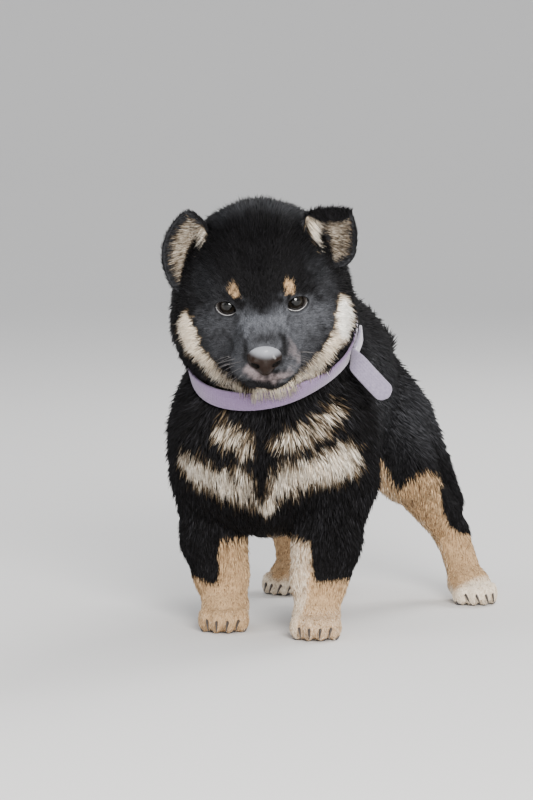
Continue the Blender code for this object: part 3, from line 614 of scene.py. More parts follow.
def outward(mesh, triangles=False):
    """Turns a mesh's faces outwards and makes it smooth."""
    bm = bmesh.new()
    bm.from_mesh(mesh)
    bmesh.ops.recalc_face_normals(bm, faces=bm.faces)
    if triangles:
        bmesh.ops.triangulate(bm, faces=bm.faces)
    bm.to_mesh(mesh)
    bm.free()
    mesh.shade_smooth()


def from_arrays(name, places, faces, finish):
    """A smooth closed piece."""
    mesh = bpy.data.meshes.new(name)
    mesh.from_pydata([tuple(place) for place in places], [], faces)
    outward(mesh)
    mesh.materials.append(finish)
    return new_object(name, mesh)


def tube_faces(start, rings, count, closed=False):
    """The faces of a tube through like rings: closed on itself, or with a cap on each end."""
    faces = []
    if not closed:
        last = start + (rings - 1) * count
        faces.append(tuple(start + i for i in reversed(range(count))))
        faces.append(tuple(last + i for i in range(count)))
    for ring in range(rings if closed else rings - 1):
        a = start + ring * count
        b = start + (ring + 1) % rings * count
        for i in range(count):
            j = (i + 1) % count
            faces.append((a + i, a + j, b + j, b + i))
    return faces


def applied(obj):
    """Bakes an object's modifiers into its mesh."""
    bpy.context.view_layer.update()
    graph = bpy.context.evaluated_depsgraph_get()
    mesh = bpy.data.meshes.new_from_object(obj.evaluated_get(graph))
    obj.modifiers.clear()
    obj.data = mesh
    return obj


def coordinates(mesh, what="vertices", field_name="co"):
    items = getattr(mesh, what)
    values = np.empty(len(items) * 3, np.float32)
    items.foreach_get(field_name, values)
    return values.reshape(-1, 3).astype(float)


def set_coordinates(mesh, places):
    mesh.vertices.foreach_set("co", np.ascontiguousarray(places, np.float32).ravel())
    mesh.update()


def kept_above(mesh, height):
    """Keeps every vertex so many millimetres above the floor."""
    places = coordinates(mesh)
    places[:, 2] = np.maximum(places[:, 2], height * MM)
    set_coordinates(mesh, places)


def store(mesh, name, values):
    """Keeps a number or a vector for each vertex."""
    kind, key = ("FLOAT_VECTOR", "vector") if values.ndim == 2 else ("FLOAT", "value")
    kept = mesh.attributes.new(name, kind, "POINT")
    kept.data.foreach_set(key, np.ascontiguousarray(values, np.float32).ravel())


def add_mass(bm, mass):
    """A ball for a lump, or the hull of two balls for a rod."""
    if "radii" in mass:
        matrix = mass["matrix"] @ Matrix.Diagonal((*mass["radii"], 1.0))
        bmesh.ops.create_icosphere(bm, subdivisions=4, radius=1.0, matrix=matrix)
        return
    own = bmesh.new()
    for place, radius in zip((mass["start"], mass["end"]), mass["ends"]):
        matrix = Matrix.Translation(Vector(place))
        bmesh.ops.create_icosphere(own, subdivisions=3, radius=radius, matrix=matrix)
    hull = bmesh.ops.convex_hull(own, input=own.verts)
    loose = [v for v in hull["geom_interior"] if isinstance(v, bmesh.types.BMVert)]
    bmesh.ops.delete(own, geom=loose, context="VERTS")
    mesh = bpy.data.meshes.new("hull")
    own.to_mesh(mesh)
    own.free()
    bm.from_mesh(mesh)
    bpy.data.meshes.remove(mesh)


def formed(name, masses, voxel, hollows=(), depth=None):
    """One closed surface around the blended masses."""
    bm = bmesh.new()
    for mass in masses:
        add_mass(bm, mass)
    bmesh.ops.delete(bm, geom=[v for v in bm.verts if not v.link_faces], context="VERTS")
    obj = from_bmesh(name, bm)
    remesh = obj.modifiers.new("Remesh", "REMESH")
    remesh.mode = "VOXEL"
    remesh.voxel_size = voxel
    applied(obj)
    places = coordinates(obj.data)
    set_coordinates(obj.data, settled(places, masses, hollows, depth(places) if depth else 0.0))
    return obj


def smooth_step(low, high, values):
    share = np.clip((values - low) / (high - low), 0.0, 1.0)
    return share * share * (3 - 2 * share)


def hump(values, start, full, fade, end):
    """Rises from 0 to 1 between the first two marks and falls again between the others."""
    return smooth_step(start, full, values) * (1 - smooth_step(fade, end, values))


# The skin

# The almond between the lids: its half width and height, its slant and how pointed it is
LIDS = (5.9, 3.9)
LID_SLANT = 0.10
LID_POINT = 1.7

# How far beside an eye's middle its lids can reach, and how far the skin sinks behind the eyeball
LID_BREADTH = 12
LID_SINK = 2.5

# Half of the line between the lips, in the head's frame
MOUTH_LINE = [
    (0.01, -62, -33.2),
    (3.5, -62, -33.6),
    (7, -60, -34),
    (10.5, -56, -33.6),
    (13.5, -51, -32.2),
]

# How deep the skin lies at the lips and lids, how high its soles are, and its voxels' size
LIP_DEPTH = 0.9 * MM
LID_DEPTH = 0.7 * MM
SOLE_HEIGHT = 0.5
SKIN_VOXEL = 1.9 * MM


def skin_depth(points):
    """How far the skin lies under the tips of the coat: least by the eyes."""
    depth = combed(points)[3]
    for side in SIDES.values():
        local = in_frame(points, eye_frame(side))
        clear = smooth_step(6.5, 13.0, np.linalg.norm(local * (1.0, 0.6, 1.0), axis=1))
        depth = depth * clear + LID_DEPTH * (1 - clear)
    return depth


def mouth_places():
    line = [(-x, y, z) for x, y, z in reversed(MOUTH_LINE[1:])] + MOUTH_LINE
    places = np.array([HEAD @ mm(*point) for point in line])
    return settled(places, MASSES, depth=LIP_DEPTH, rounds=12)


MOUTH = mouth_places()


def from_mouth(points):
    """How far points are from the line between the lips."""
    return np.linalg.norm(points[:, None, :] - MOUTH[None], axis=2).min(axis=1)


def face_hollows():
    """The line between the lips."""
    line = [tuple((BODY.inverted() @ Vector(p)) / MM) for p in MOUTH]
    return [rod(a, b, 0.75, 0.75, blend=0.9) for a, b in zip(line[:-1], line[1:])]


def lid_share(local, side, grow=0.0):
    """1 on the edge of the almond between the lids, less inside it."""
    wide, high = LIDS
    across = np.abs(local[:, 0] / (wide + grow)) ** LID_POINT
    rise = (local[:, 2] - LID_SLANT * side * local[:, 0]) / (high + grow)
    return np.sqrt(across + rise * rise)


def in_lids(local, side, grow=0.0):
    """Whether places in an eye's frame lie between its lids."""
    before = (local[:, 1] < 0) & (np.abs(local[:, 0]) < LID_BREADTH)
    return (lid_share(local, side, grow) < 1.0) & before


HOLLOWS = face_hollows()


def finer(obj, near):
    """Splits the faces that near() picks by their middles, then lays them on the field again."""
    picked = near(coordinates(obj.data, "polygons", "center"))
    bm = bmesh.new()
    bm.from_mesh(obj.data)
    bm.faces.ensure_lookup_table()
    edges = {edge for index in np.nonzero(picked)[0] for edge in bm.faces[index].edges}
    bmesh.ops.subdivide_edges(bm, edges=list(edges), cuts=1, use_grid_fill=True)
    bm.to_mesh(obj.data)
    bm.free()
    places = coordinates(obj.data)
    touched = near(places)
    places[touched] = settled(places[touched], MASSES, HOLLOWS, skin_depth(places[touched]))
    set_coordinates(obj.data, places)


def near_face(points):
    local = in_frame(points, HEAD)
    return (local[:, 1] < -22) & (local[:, 2] > -46) & (local[:, 2] < 18)


def near_features(points):
    """Close to the eyes, the mouth or the nose."""
    close = np.linalg.norm(in_frame(points, HEAD) - np.array((0, -62, -22)), axis=1) < 11
    for side in SIDES.values():
        local = in_frame(points, eye_frame(side))
        close |= (np.linalg.norm(local[:, (0, 2)], axis=1) < 9) & (local[:, 1] < 0)
    return close | (from_mouth(points) < 4.5 * MM)


def open_lids(places):
    """Sinks the skin behind each eyeball's front, inside the almond between the lids."""
    for side in SIDES.values():
        own = eye_frame(side)
        local = in_frame(places, own)
        inside = in_lids(local, side)
        edge = smooth_step(0.90, 1.0, lid_share(local[inside], side))
        local[inside, 1] = local[inside, 1] * edge - LID_SINK * (1 - edge)
        matrix = np.array(own)
        places[inside] = local[inside] * MM @ matrix[:3, :3].T + matrix[:3, 3]


def make_skin():
    skin = formed("skin", MASSES, SKIN_VOXEL, HOLLOWS, skin_depth)
    finer(skin, near_face)
    finer(skin, near_features)
    finer(skin, near_features)
    places = coordinates(skin.data)
    open_lids(places)
    set_coordinates(skin.data, places)
    kept_above(skin.data, SOLE_HEIGHT)
    skin.data.shade_smooth()
    return skin


# Ears

# The back's grid, how near its ends the grid stops, and how thick the ear is
EAR_GRID = (30, 56)
EAR_END = 0.985
EAR_THICKNESS = 1.3 * MM


def ear_frame(name):
    """The frame of one ear: it opens along its own -Y and its tip is up."""
    turn = (-6, EAR_LEANS[name], SIDES[name] * 14)
    return HEAD @ Matrix.Translation(mm(*EAR_PLACES[name])) @ turned(turn)


def ear_point(across, up, name):
    """A point of the ear's cupped back, from places across and up that run from -1 to 1."""
    fold, corners = EAR_FOLDS[name], EAR_CORNERS[name]
    taper = 1.0 - EAR_TAPERS[name] * max(up, 0.0) ** 1.6
    round_share = max(1.0 - abs(up) ** corners, 0.0) ** (1.0 / corners)
    x = across * round_share * EAR_WIDTH / 2 * taper
    z = up * EAR_HEIGHT / 2 * (1.0 if up > 0 else EAR_LOWS[name])
    edge = across * across * round_share**2 + up * up
    y = EAR_DEPTH * (1.0 - min(edge, 1.0)) - EAR_DEPTH / 3
    crease = EAR_HEIGHT / 2 - fold
    if fold:
        y = y * (1.0 - 0.85 * min(max((z - crease + 9.0) / 9.0, 0.0), 1.0))
    if fold and z > crease:
        turn = min((z - crease) / FOLD_RADIUS, math.radians(FOLD_TURN))
        rest = z - crease - turn * FOLD_RADIUS
        z = crease + FOLD_RADIUS * math.sin(turn) + rest * math.cos(turn)
        y = y - FOLD_RADIUS * (1.0 - math.cos(turn)) - rest * math.sin(turn)
    if fold:
        corner = abs(across) ** 3 * min(max((z - crease + 7.0) / 7.0, 0.0), 1.0)
        z = z - 1.5 * corner
    return mm(x, y, z)


def make_ear(name):
    """A cupped ear with its own skin, and what its coat needs: where each point is on it."""
    bm = bmesh.new()
    bmesh.ops.create_grid(bm, x_segments=EAR_GRID[0], y_segments=EAR_GRID[1], size=1.0)
    own = ear_frame(name)
    across_layer = bm.verts.layers.float.new("across")
    up_layer = bm.verts.layers.float.new("up")
    for vertex in bm.verts:
        across, up = vertex.co.x, vertex.co.y * EAR_END
        vertex[across_layer], vertex[up_layer] = across, up
        vertex.co = own @ ear_point(across, up, name)
    obj = from_bmesh("ear_" + name + "_skin", bm)
    solid = obj.modifiers.new("Solidify", "SOLIDIFY")
    solid.thickness = EAR_THICKNESS
    solid.offset = 0.0
    applied(obj)
    obj.data.shade_smooth()
    return obj


# Colour marks

# Waves that roughen the edges of the marks: direction with frequency, and shift
WAVES = (
    ((0.9, 0.3, 0.5), 0.0),
    ((-0.4, 0.8, 0.7), 1.3),
    ((0.5, -0.6, 1.1), 2.1),
    ((1.6, 0.9, -0.8), 4.0),
)


def unevenness(points):
    """Between -1 and 1, in waves some millimetres long."""
    body = in_body(points)
    return sum(np.sin(body @ np.array(wave) + shift) for wave, shift in WAVES) / len(WAVES)


def stroke(points, rough, pixels, radius, soft, strength):
    """How much each point lies in a mark drawn between pixels of the photo."""
    places = seen_at(pixels)
    least = np.full(len(points), 1.0)
    for a, b in zip(places[:-1], places[1:]):
        along = b - a
        share = np.clip((points - a) @ along / max(along @ along, 1e-12), 0, 1)
        least = np.minimum(least, np.linalg.norm(points - a - share[:, None] * along, axis=1))
    away = least / MM + rough * soft * 0.7
    return (1.0 - smooth_step(radius - soft, radius + soft, away)) * strength


MARKS = ("Tan", "Cream", "Grey", "Pink")

# Marks as the photo shows them: its pixels, then radius and softness in millimetres, and strength
TAN_STROKES = {
    "right_brow": ([(233, 290), (234.5, 294)], 2.3, 2.2, 1.0),
    "left_brow": ([(288.5, 285), (289.5, 289)], 2.6, 2.2, 1.0),
}
CREAM_STROKES = {
    "right_cheek": ([(181, 328), (186, 341)], 7.6, 3.0, 1.0),
    "right_jaw": ([(190, 348), (203, 362), (219, 379), (240, 390)], 4.4, 2.4, 0.92),
    # The left cheek's strength above 1 turns it white: a painted highlight where the light falls
    "left_cheek": ([(350, 312), (348, 326)], 8.6, 2.4, 1.35),
    "left_jaw": ([(340, 340), (326, 359), (304, 381)], 5.6, 2.2, 0.95),
    "breast_right": ([(220, 424), (246, 439)], 4.8, 5.0, 0.92),
    "breast_left": ([(286, 436), (312, 423), (336, 404)], 4.6, 5.2, 0.92),
    "chest_right": ([(186, 465), (208, 477), (228, 484)], 9.0, 6.4, 1.0),
    "chest_left": ([(286, 480), (318, 467), (348, 454)], 8.8, 6.4, 1.0),
}
WISP_STROKES = {
    "chest_right": ([(238, 466), (247, 484), (257, 504)], 4.2, 2.8, 1.25),
    "chest_left": ([(286, 466), (276, 484), (265, 506)], 4.2, 2.8, 1.25),
    "chin": ([(262, 392), (276, 392)], 3.0, 2.4, 1.3),
}
# Grey on the face: partly grey hairs, partly painted sheen, stronger on the puppy's left where the light
# falls; on the crown and temples it is painted sheen
GREY_AND_SHEEN_STROKES = {
    "bridge": ([(250, 321), (280, 319)], 8.0, 7.5, 0.66),
    "over_nose": ([(262, 333), (264, 340)], 8.0, 7.0, 0.48),
    "right_under_eye": ([(205, 322), (235, 326)], 7.0, 7.0, 0.20),
    "left_under_eye": ([(296, 322), (326, 314)], 8.0, 7.0, 0.36),
    "right_muzzle": ([(236, 340), (240, 368)], 8.0, 8.5, 0.24),
    "left_muzzle": ([(296, 338), (300, 368)], 9.0, 7.0, 0.42),
    "right_jowl": ([(215, 345), (228, 368)], 8.0, 8.0, 0.17),
    "left_jowl": ([(312, 345), (306, 368)], 7.0, 7.0, 0.24),
    "right_temple": ([(198, 278), (214, 300)], 7.0, 6.0, 0.07),
    "left_temple": ([(322, 268), (330, 290)], 7.0, 6.0, 0.11),
    "crown": ([(224, 212), (262, 202), (300, 212)], 6.0, 6.0, 0.20),
}
# Painted shadows over the nose, beside the nostril wings and along the mouth's line; on the lips they
# are partly the lips' own black and partly painted shadow, and between the eyes they keep the coat's own
# black
SHADE_AND_BLACK_STROKES = {
    "over_nose": ([(259, 339), (271, 338)], 2.8, 3.0, 0.8),
    "right_of_nose": ([(245, 348), (245, 360)], 1.4, 1.2, 0.9),
    "left_of_nose": ([(285, 341), (286, 354)], 1.4, 1.2, 0.9),
    "right_lip": ([(240, 386), (253, 392)], 3.0, 1.6, 1.0),
    "left_lip": ([(286, 391), (300, 383)], 3.0, 1.6, 1.0),
    "between_lips": ([(249, 383.5), (267, 384.5), (296, 383)], 1.5, 1.2, 1.0),
    "between_eyes": ([(262, 270), (262, 303)], 6.5, 4.5, 1.0),
}
PINK_STROKES = {
    "left_flecks": ([(294, 349), (300, 358)], 2.4, 4.4, 0.30),
    "right_lip": ([(249, 371), (262, 379)], 2.2, 2.4, 0.45),
    "left_lip": ([(274, 379), (288, 376)], 2.2, 2.4, 0.45),
}

# How grey the flanks are, partly a grey haze in the coat and partly painted sheen, and the middle of the
# cream under the tail
FLANK_GREY_AND_SHEEN = 0.14
SEAT = (3, 112, 98)

# The hind leg's tan begins below the first line and ends at the second, in pixels of the photo
THIGH_TOP = ([380, 398, 412, 425, 437, 460], [500, 486, 475, 467, 470, 480])
THIGH_EDGE = ([455, 470, 500, 525, 533, 537], [433, 436, 441, 449, 462, 530])
PALE_PAW = ([430, 437, 454, 474, 500], [600, 593, 588, 577, 573])

# A foreleg's tan: its inner edge from the leg's middle with its top, then its outer and inner heights
FORELEG_INNER = {"left": (0.0, 50.0), "right": (0.34, 47.0)}
FORELEG_POINT = {"left": (29.0, 28.0), "right": (28.5, 21.5)}


def drawn(points, rough, strokes):
    """The strongest of some strokes at each point."""
    return np.max([stroke(points, rough, *values) for values in strokes.values()], axis=0)


def hind_line(name, height):
    """The middle of a hind leg at each height, across and along the body."""
    side, hock, (foot, _) = SIDES[name], HOCKS[name], HIND_PAWS[name]
    heights = (0, hock[2], KNEE[2], HIP[2])
    across = (foot[0], hock[0], HIP_MIDDLE + side * KNEE[0], HIP_MIDDLE + side * HIP[0])
    along = (foot[1], hock[1], KNEE[1], HIP[1])
    return np.interp(height, heights, across), np.interp(height, heights, along)


def hind_marks(name, body):
    """Tan and pale shares of one hind leg; the right one is marked as the left one is seen."""
    side = SIDES[name]
    x, y = hind_line(name, body[:, 2])
    inner = -side * (body[:, 0] - x)
    like_x, like_y = hind_line("left", body[:, 2])
    like = np.stack([like_x - inner, like_y + body[:, 1] - y, body[:, 2]], axis=1)
    u, v = photo_place(like * MM + np.array(SHIFT))
    below = smooth_step(-5, 5, v - np.interp(u, *THIGH_TOP))
    tan = below * smooth_step(-3, 3, np.interp(v, *THIGH_EDGE) - u)
    within = smooth_step(1.0, 6.0, inner) * (1 - smooth_step(74, 88, body[:, 2]))
    pale = 0.8 * smooth_step(-9, 9, v - np.interp(u, *PALE_PAW)) + 0.35 * within
    own = (body[:, 1] > 36) & (side * (body[:, 0] - HIP_MIDDLE) > 0) & (body[:, 2] < HIP[2])
    return np.maximum(tan, within) * own, np.minimum(pale, 1.0) * own


def foreleg_marks(name, body):
    """Tan and pale shares of one foreleg: high on the inner side, low in front and outside."""
    side, (foot, _) = SIDES[name], FORE_PAWS[name]
    heights = (WRIST_HEIGHT, SHIN[1], ELBOW[1])
    line = (foot[0] - 2.6, FORE_MIDDLE + side * SHIN[0], FORE_MIDDLE + side * ELBOW[0])
    x = np.interp(body[:, 2], heights, line)
    inner = -side * (body[:, 0] - x) / np.interp(body[:, 2], heights, (12.5, 14.5, 17))
    edge, top = FORELEG_INNER[name]
    outer_height, point = FORELEG_POINT[name]
    inside = smooth_step(edge - 0.22, edge + 0.22, inner)
    height = np.interp(inner, (-1, edge), (outer_height, point)) * (1 - inside) + top * inside
    tan = 1 - smooth_step(-3.5, 3.5, body[:, 2] - height)
    own = (body[:, 1] < 5) & (side * (body[:, 0] + 2) > 0) & (body[:, 2] < 70)
    paw = 1 - smooth_step(10, 26, body[:, 2])
    pale = np.maximum(0.62 * inside, 0.42 * paw) if name == "left" else 0.25 * paw
    return tan * own, pale * own


def ruff_marks(points):
    """Cream along the lower edge of the jaw, in front of the band."""
    angle, _, rise = in_band(points)
    top = 8.0 + 2.5 * hump(angle, 0, 14, 30, 44)
    return hump(angle, -26, -14, 56, 68) * hump(rise, 3.5, 5.5, top - 1, top + 1)


def under_marks(body):
    """Cream on the belly and under the tail."""
    within = (body[:, 1] > -5) & (body[:, 1] < 112) & (np.abs(body[:, 0] - REAR_MIDDLE) < 30)
    belly = (1 - smooth_step(66, 76, body[:, 2] + 0.05 * np.abs(body[:, 0]) ** 1.4)) * within
    seat = 1 - smooth_step(9, 15, np.linalg.norm(body - np.array(SEAT), axis=1))
    return np.maximum(0.6 * belly, 0.8 * seat)


def flank_grey_and_sheen(body):
    # Grey on the flanks: partly a grey haze in the coat, partly painted sheen
    beside = smooth_step(22, 42, np.abs(body[:, 0]))
    return FLANK_GREY_AND_SHEEN * beside * smooth_step(70, 110, body[:, 2]) * smooth_step(-30, 10, body[:, 1])


def marks(points):
    """The coat's tan, cream, grey and pink shares at points."""
    body = in_body(points)
    rough = unevenness(points)
    tan = drawn(points, rough, TAN_STROKES)
    cream = np.zeros(len(body))
    for name in SIDES:
        for leg in (hind_marks, foreleg_marks):
            leg_tan, leg_pale = leg(name, body)
            tan = np.maximum(tan, leg_tan)
            cream = np.maximum(cream, leg_pale * leg_tan)
    # Painted shade and black, which clear the cream, grey and pink
    dark = drawn(points, rough, SHADE_AND_BLACK_STROKES)
    for strokes in (CREAM_STROKES, WISP_STROKES):
        cream = np.maximum(cream, drawn(points, rough, strokes))
    cream = np.maximum(cream * (1 - dark), ruff_marks(points))
    cream = np.maximum(cream, under_marks(body))
    # Grey: partly grey hairs, partly painted sheen
    grey = np.maximum(drawn(points, rough, GREY_AND_SHEEN_STROKES) * (1 - dark), flank_grey_and_sheen(body))
    pink = drawn(points, rough, PINK_STROKES) * (1 - dark)
    return tan, cream, grey, pink


# Geometry Nodes: tufts set all over a skin, combed, each with its own patch of the map

VECTOR = "FLOAT_VECTOR"


def feed(tree, made, links):
    """Puts values or links on a node's inputs."""
    for key, value in links.items():
        if isinstance(value, bpy.types.NodeSocket):
            tree.links.new(value, made.inputs[key])
        else:
            made.inputs[key].default_value = value


def node(tree, kind, links=(), **settings):
    """A node with its settings, and with values or links on its inputs."""
    made = tree.nodes.new(kind)
    for key, value in settings.items():
        setattr(made, key, value)
    feed(tree, made, dict(links))
    return made


def figure(tree, operation, a, b, clamp=False):
    made = node(tree, "ShaderNodeMath", {0: a, 1: b}, operation=operation, use_clamp=clamp)
    return made.outputs[0]


def vectors(tree, operation, a, b):
    return node(tree, "ShaderNodeVectorMath", {0: a, 1: b}, operation=operation).outputs[0]


def scaled(tree, vector, amount):
    links = {0: vector, "Scale": amount}
    return node(tree, "ShaderNodeVectorMath", links, operation="SCALE").outputs[0]


def named(tree, name, kind="FLOAT"):
    made = node(tree, "GeometryNodeInputNamedAttribute", {"Name": name}, data_type=kind)
    return made.outputs["Attribute"]


def stored(tree, geometry, name, value, kind="FLOAT", domain="POINT"):
    links = {"Geometry": geometry, "Name": name, "Value": value}
    made = node(tree, "GeometryNodeStoreNamedAttribute", links, data_type=kind, domain=domain)
    return made.outputs[0]


def chance(tree, given, low, high, shift):
    """A random number for each tuft, from a draw of its own."""
    seed = figure(tree, "ADD", given["Seed"], float(shift))
    links = {2: low, 3: high, "Seed": seed}
    return node(tree, "FunctionNodeRandomValue", links, data_type="FLOAT").outputs[1]


def tuft_turn(tree, given, normal):
    """Turns a tuft along the comb: it leans with its clump and strays a little."""
    place = node(tree, "GeometryNodeInputPosition").outputs[0]
    clump = {"Vector": place, "Scale": given["Clump Size"], "Detail": 1.0}
    waves = node(tree, "ShaderNodeTexNoise", clump, noise_dimensions="3D").outputs["Color"]
    lean = scaled(tree, vectors(tree, "SUBTRACT", waves, (0.5, 0.5, 0.5)), given["Clump"])
    limits = {0: (-1.0, -1.0, -1.0), 1: (1.0, 1.0, 1.0), "Seed": given["Seed"]}
    stray = node(tree, "FunctionNodeRandomValue", limits, data_type=VECTOR).outputs[0]
    leaning = vectors(tree, "ADD", named(tree, "comb", VECTOR), lean)
    grow = vectors(tree, "ADD", leaning, scaled(tree, stray, given["Stray"]))
    axes = {"Primary Axis": grow, "Secondary Axis": normal}
    made = node(tree, "FunctionNodeAxesToRotation", axes, primary_axis="Y", secondary_axis="Z")
    return made.outputs[0]


def tuft_size(tree, given):
    long = figure(tree, "MULTIPLY", named(tree, "hair"), chance(tree, given, 0.72, 1.18, 1))
    wide = figure(tree, "MULTIPLY", named(tree, "girth"), chance(tree, given, 0.7, 1.3, 2))
    return node(tree, "ShaderNodeCombineXYZ", {"X": wide, "Y": long, "Z": long}).outputs[0]


COAT_SOCKETS = {
    "Skin": "NodeSocketGeometry",
    "Tufts": "NodeSocketCollection",
    "Tufts per Square Metre": "NodeSocketFloat",
    "Stray": "NodeSocketFloat",
    "Clump": "NodeSocketFloat",
    "Clump Size": "NodeSocketFloat",
    "Patch": "NodeSocketFloat",
    "Seed": "NodeSocketInt",
    "Finish": "NodeSocketMaterial",
}


def tuft_tree():
    """Points by density, a tuft on each along the comb, then real mesh with its map and finish."""
    tree = bpy.data.node_groups.new("combed_coat", "GeometryNodeTree")
    for name, kind in COAT_SOCKETS.items():
        tree.interface.new_socket(name, in_out="INPUT", socket_type=kind)
    tree.interface.new_socket("Coat", in_out="OUTPUT", socket_type="NodeSocketGeometry")
    given = tree.nodes.new("NodeGroupInput").outputs
    out = tree.nodes.new("NodeGroupOutput")
    density = figure(tree, "MULTIPLY", named(tree, "cover"), given["Tufts per Square Metre"])
    spread = {"Mesh": given["Skin"], "Density": density, "Seed": given["Seed"]}
    points = node(tree, "GeometryNodeDistributePointsOnFaces", spread, distribute_method="RANDOM")
    kept = stored(tree, points.outputs["Points"], "tone", chance(tree, given, 0.0, 1.0, 3))
    kept = stored(tree, kept, "root_map", named(tree, "coat_map", VECTOR), VECTOR)
    shapes = {"Collection": given["Tufts"], "Separate Children": True, "Reset Children": True}
    limits = {4: 0, 5: 99, "Seed": given["Seed"]}
    tufts = {
        "Points": kept,
        "Instance": node(tree, "GeometryNodeCollectionInfo", shapes).outputs[0],
        "Pick Instance": True,
        "Instance Index": node(tree, "FunctionNodeRandomValue", limits, data_type="INT").outputs[2],
        "Rotation": tuft_turn(tree, given, points.outputs["Normal"]),
        "Scale": tuft_size(tree, given),
    }
    set_on = node(tree, "GeometryNodeInstanceOnPoints", tufts).outputs[0]
    real = node(tree, "GeometryNodeRealizeInstances", {"Geometry": set_on}).outputs[0]
    patch = scaled(tree, named(tree, "local_map", VECTOR), given["Patch"])
    place = vectors(tree, "ADD", named(tree, "root_map", VECTOR), patch)
    mapped = stored(tree, real, "OFBake", place, "FLOAT2", "CORNER")
    finished = {"Geometry": mapped, "Material": given["Finish"]}
    coat = node(tree, "GeometryNodeSetMaterial", finished).outputs[0]
    feed(tree, out, {"Coat": coat})
    return tree


def tuft_shape(name, rings, bend, collection):
    """A closed three-sided tuft, one unit long, that lies along +Y and bends down at its tip."""
    places, along, faces = [], [], []
    for step in range(rings):
        share = step / rings
        half = 0.5 * (1.0 - 0.35 * share)
        thick = 0.035 * (1.0 - 0.3 * share)
        middle = share * 1.06 - 0.06
        drop = -bend * share * share
        low, high = drop - thick, drop + thick
        places += [(-half, middle, low), (half, middle, low), (0, middle, high)]
        along += [share] * 3
    places.append((0, 1.0, -bend))
    along.append(1.0)
    faces.append((0, 1, 2))
    for step in range(rings - 1):
        low = 3 * step
        for i in range(3):
            j = (i + 1) % 3
            faces.append((low + i, low + 3 + i, low + 3 + j, low + j))
    top, last = 3 * (rings - 1), 3 * rings
    for i in range(3):
        faces.append((top + i, last, top + (i + 1) % 3))
    mesh = bpy.data.meshes.new(name)
    mesh.from_pydata(places, [], faces)
    outward(mesh, triangles=True)
    store(mesh, "along", np.array(along))
    store(mesh, "local_map", np.array([(x, y, 0.0) for x, y, _ in places]))
    collection.objects.link(bpy.data.objects.new(name, mesh))


def tuft_set(name, rings, bends):
    collection = bpy.data.collections.new(name)
    for index, bend in enumerate(bends):
        tuft_shape(f"{name}_{index}", rings, bend, collection)
    return collection


def modifier_input(modifier, name, value):
    """Sets a Geometry Nodes input by its socket's identifier."""
    for item in modifier.node_group.interface.items_tree:
        if item.item_type == "SOCKET" and item.in_out == "INPUT" and item.name == name:
            modifier[item.identifier] = value


def unwrapped(obj):
    """An unwrap of the skin's own shape, in the map coat_map."""
    obj.data.uv_layers.new(name="coat_map")
    bpy.context.view_layer.objects.active = obj
    obj.select_set(True)
    bpy.ops.object.mode_set(mode="EDIT")
    bpy.ops.mesh.select_all(action="SELECT")
    bpy.ops.uv.smart_project(angle_limit=math.radians(66), island_margin=0.003)
    bpy.ops.object.mode_set(mode="OBJECT")
    obj.select_set(False)


# What a coat keeps of its skin and tufts, and how far it stays above the floor
COAT_KEEPS = {"tan", "cream", "grey", "pink", "tone", "along", "position", "sharp_face", "OFBake"}
COAT_FLOOR = 0.15

# The size of a tuft's patch on the map, and how far tufts stray from the comb
TUFT_PATCH = 0.003
STRAY = 0.14

# How tufts lean together in clumps, and how many clumps there are to a metre
USUAL_CLUMPS = (0.6, 230.0)
CLUMPS = {"fur_chest": (1.0, 150.0), "fur_throat": (1.0, 150.0)}

# The ears' tufts: how many to a square millimetre, how far they stray and their clumps
EAR_TUFTS = (2.6, 0.12, (0.5, 300.0))


def grown(name, emitter, tree, tufts, finish, seed, density, stray, clumps):
    """The coat that grows from one emitter, as plain mesh."""
    modifier = emitter.modifiers.new("Coat", "NODES")
    modifier.node_group = tree
    settings = {
        "Tufts": tufts,
        "Tufts per Square Metre": density * 1e6,
        "Stray": stray,
        "Clump": clumps[0],
        "Clump Size": clumps[1],
        "Patch": TUFT_PATCH,
        "Seed": seed,
        "Finish": finish,
    }
    for key, value in settings.items():
        modifier_input(modifier, key, value)
    applied(emitter)
    emitter.name = name
    mesh = emitter.data
    mesh.name = name
    kept_above(mesh, COAT_FLOOR)
    for label in [a.name for a in mesh.attributes if not a.name.startswith((".", "material_index"))]:
        if label not in COAT_KEEPS and not mesh.attributes[label].is_required:
            mesh.attributes.remove(mesh.attributes[label])
    mesh.materials.clear()
    mesh.materials.append(finish)
    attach(emitter, "root")


# Coat pieces: the frame and place of each one's middle, and its tufts to a square millimetre
COAT_PIECES = {
    "fur_face": ("head", (0, -46, -14), 2.6),
    "fur_brow": ("head", (0, -34, 26), 2.0),
    "fur_crown": ("head", (0, 14, 40), 1.25),
    "fur_cheek_left": ("head", (40, -10, -16), 1.5),
    "fur_cheek_right": ("head", (-40, -10, -16), 1.5),
    "fur_nape": ("body", (-1, -8, 165), 1.0),
    "fur_throat": ("body", (-2, -80, 128), 1.2),
    "fur_chest": ("body", (-3, -80, 92), 1.2),
    "fur_side_left": ("body", (44, 10, 118), 0.95),
    "fur_side_right": ("body", (-44, 10, 118), 0.95),
    "fur_rump": ("body", (4, 84, 124), 0.95),
    "fur_tail": ("body", (-18, 110, 148), 1.0),
    "fur_foreleg_left": ("body", (31, -40, 48), 1.35),
    "fur_foreleg_right": ("body", (-36, -36, 48), 1.35),
    "fur_thigh_left": ("body", (42, 80, 70), 1.2),
    "fur_thigh_right": ("body", (-36, 80, 70), 1.2),
}

# What is added to the distance of a piece on the other side of the band
OUT_OF_REACH = 1000.0


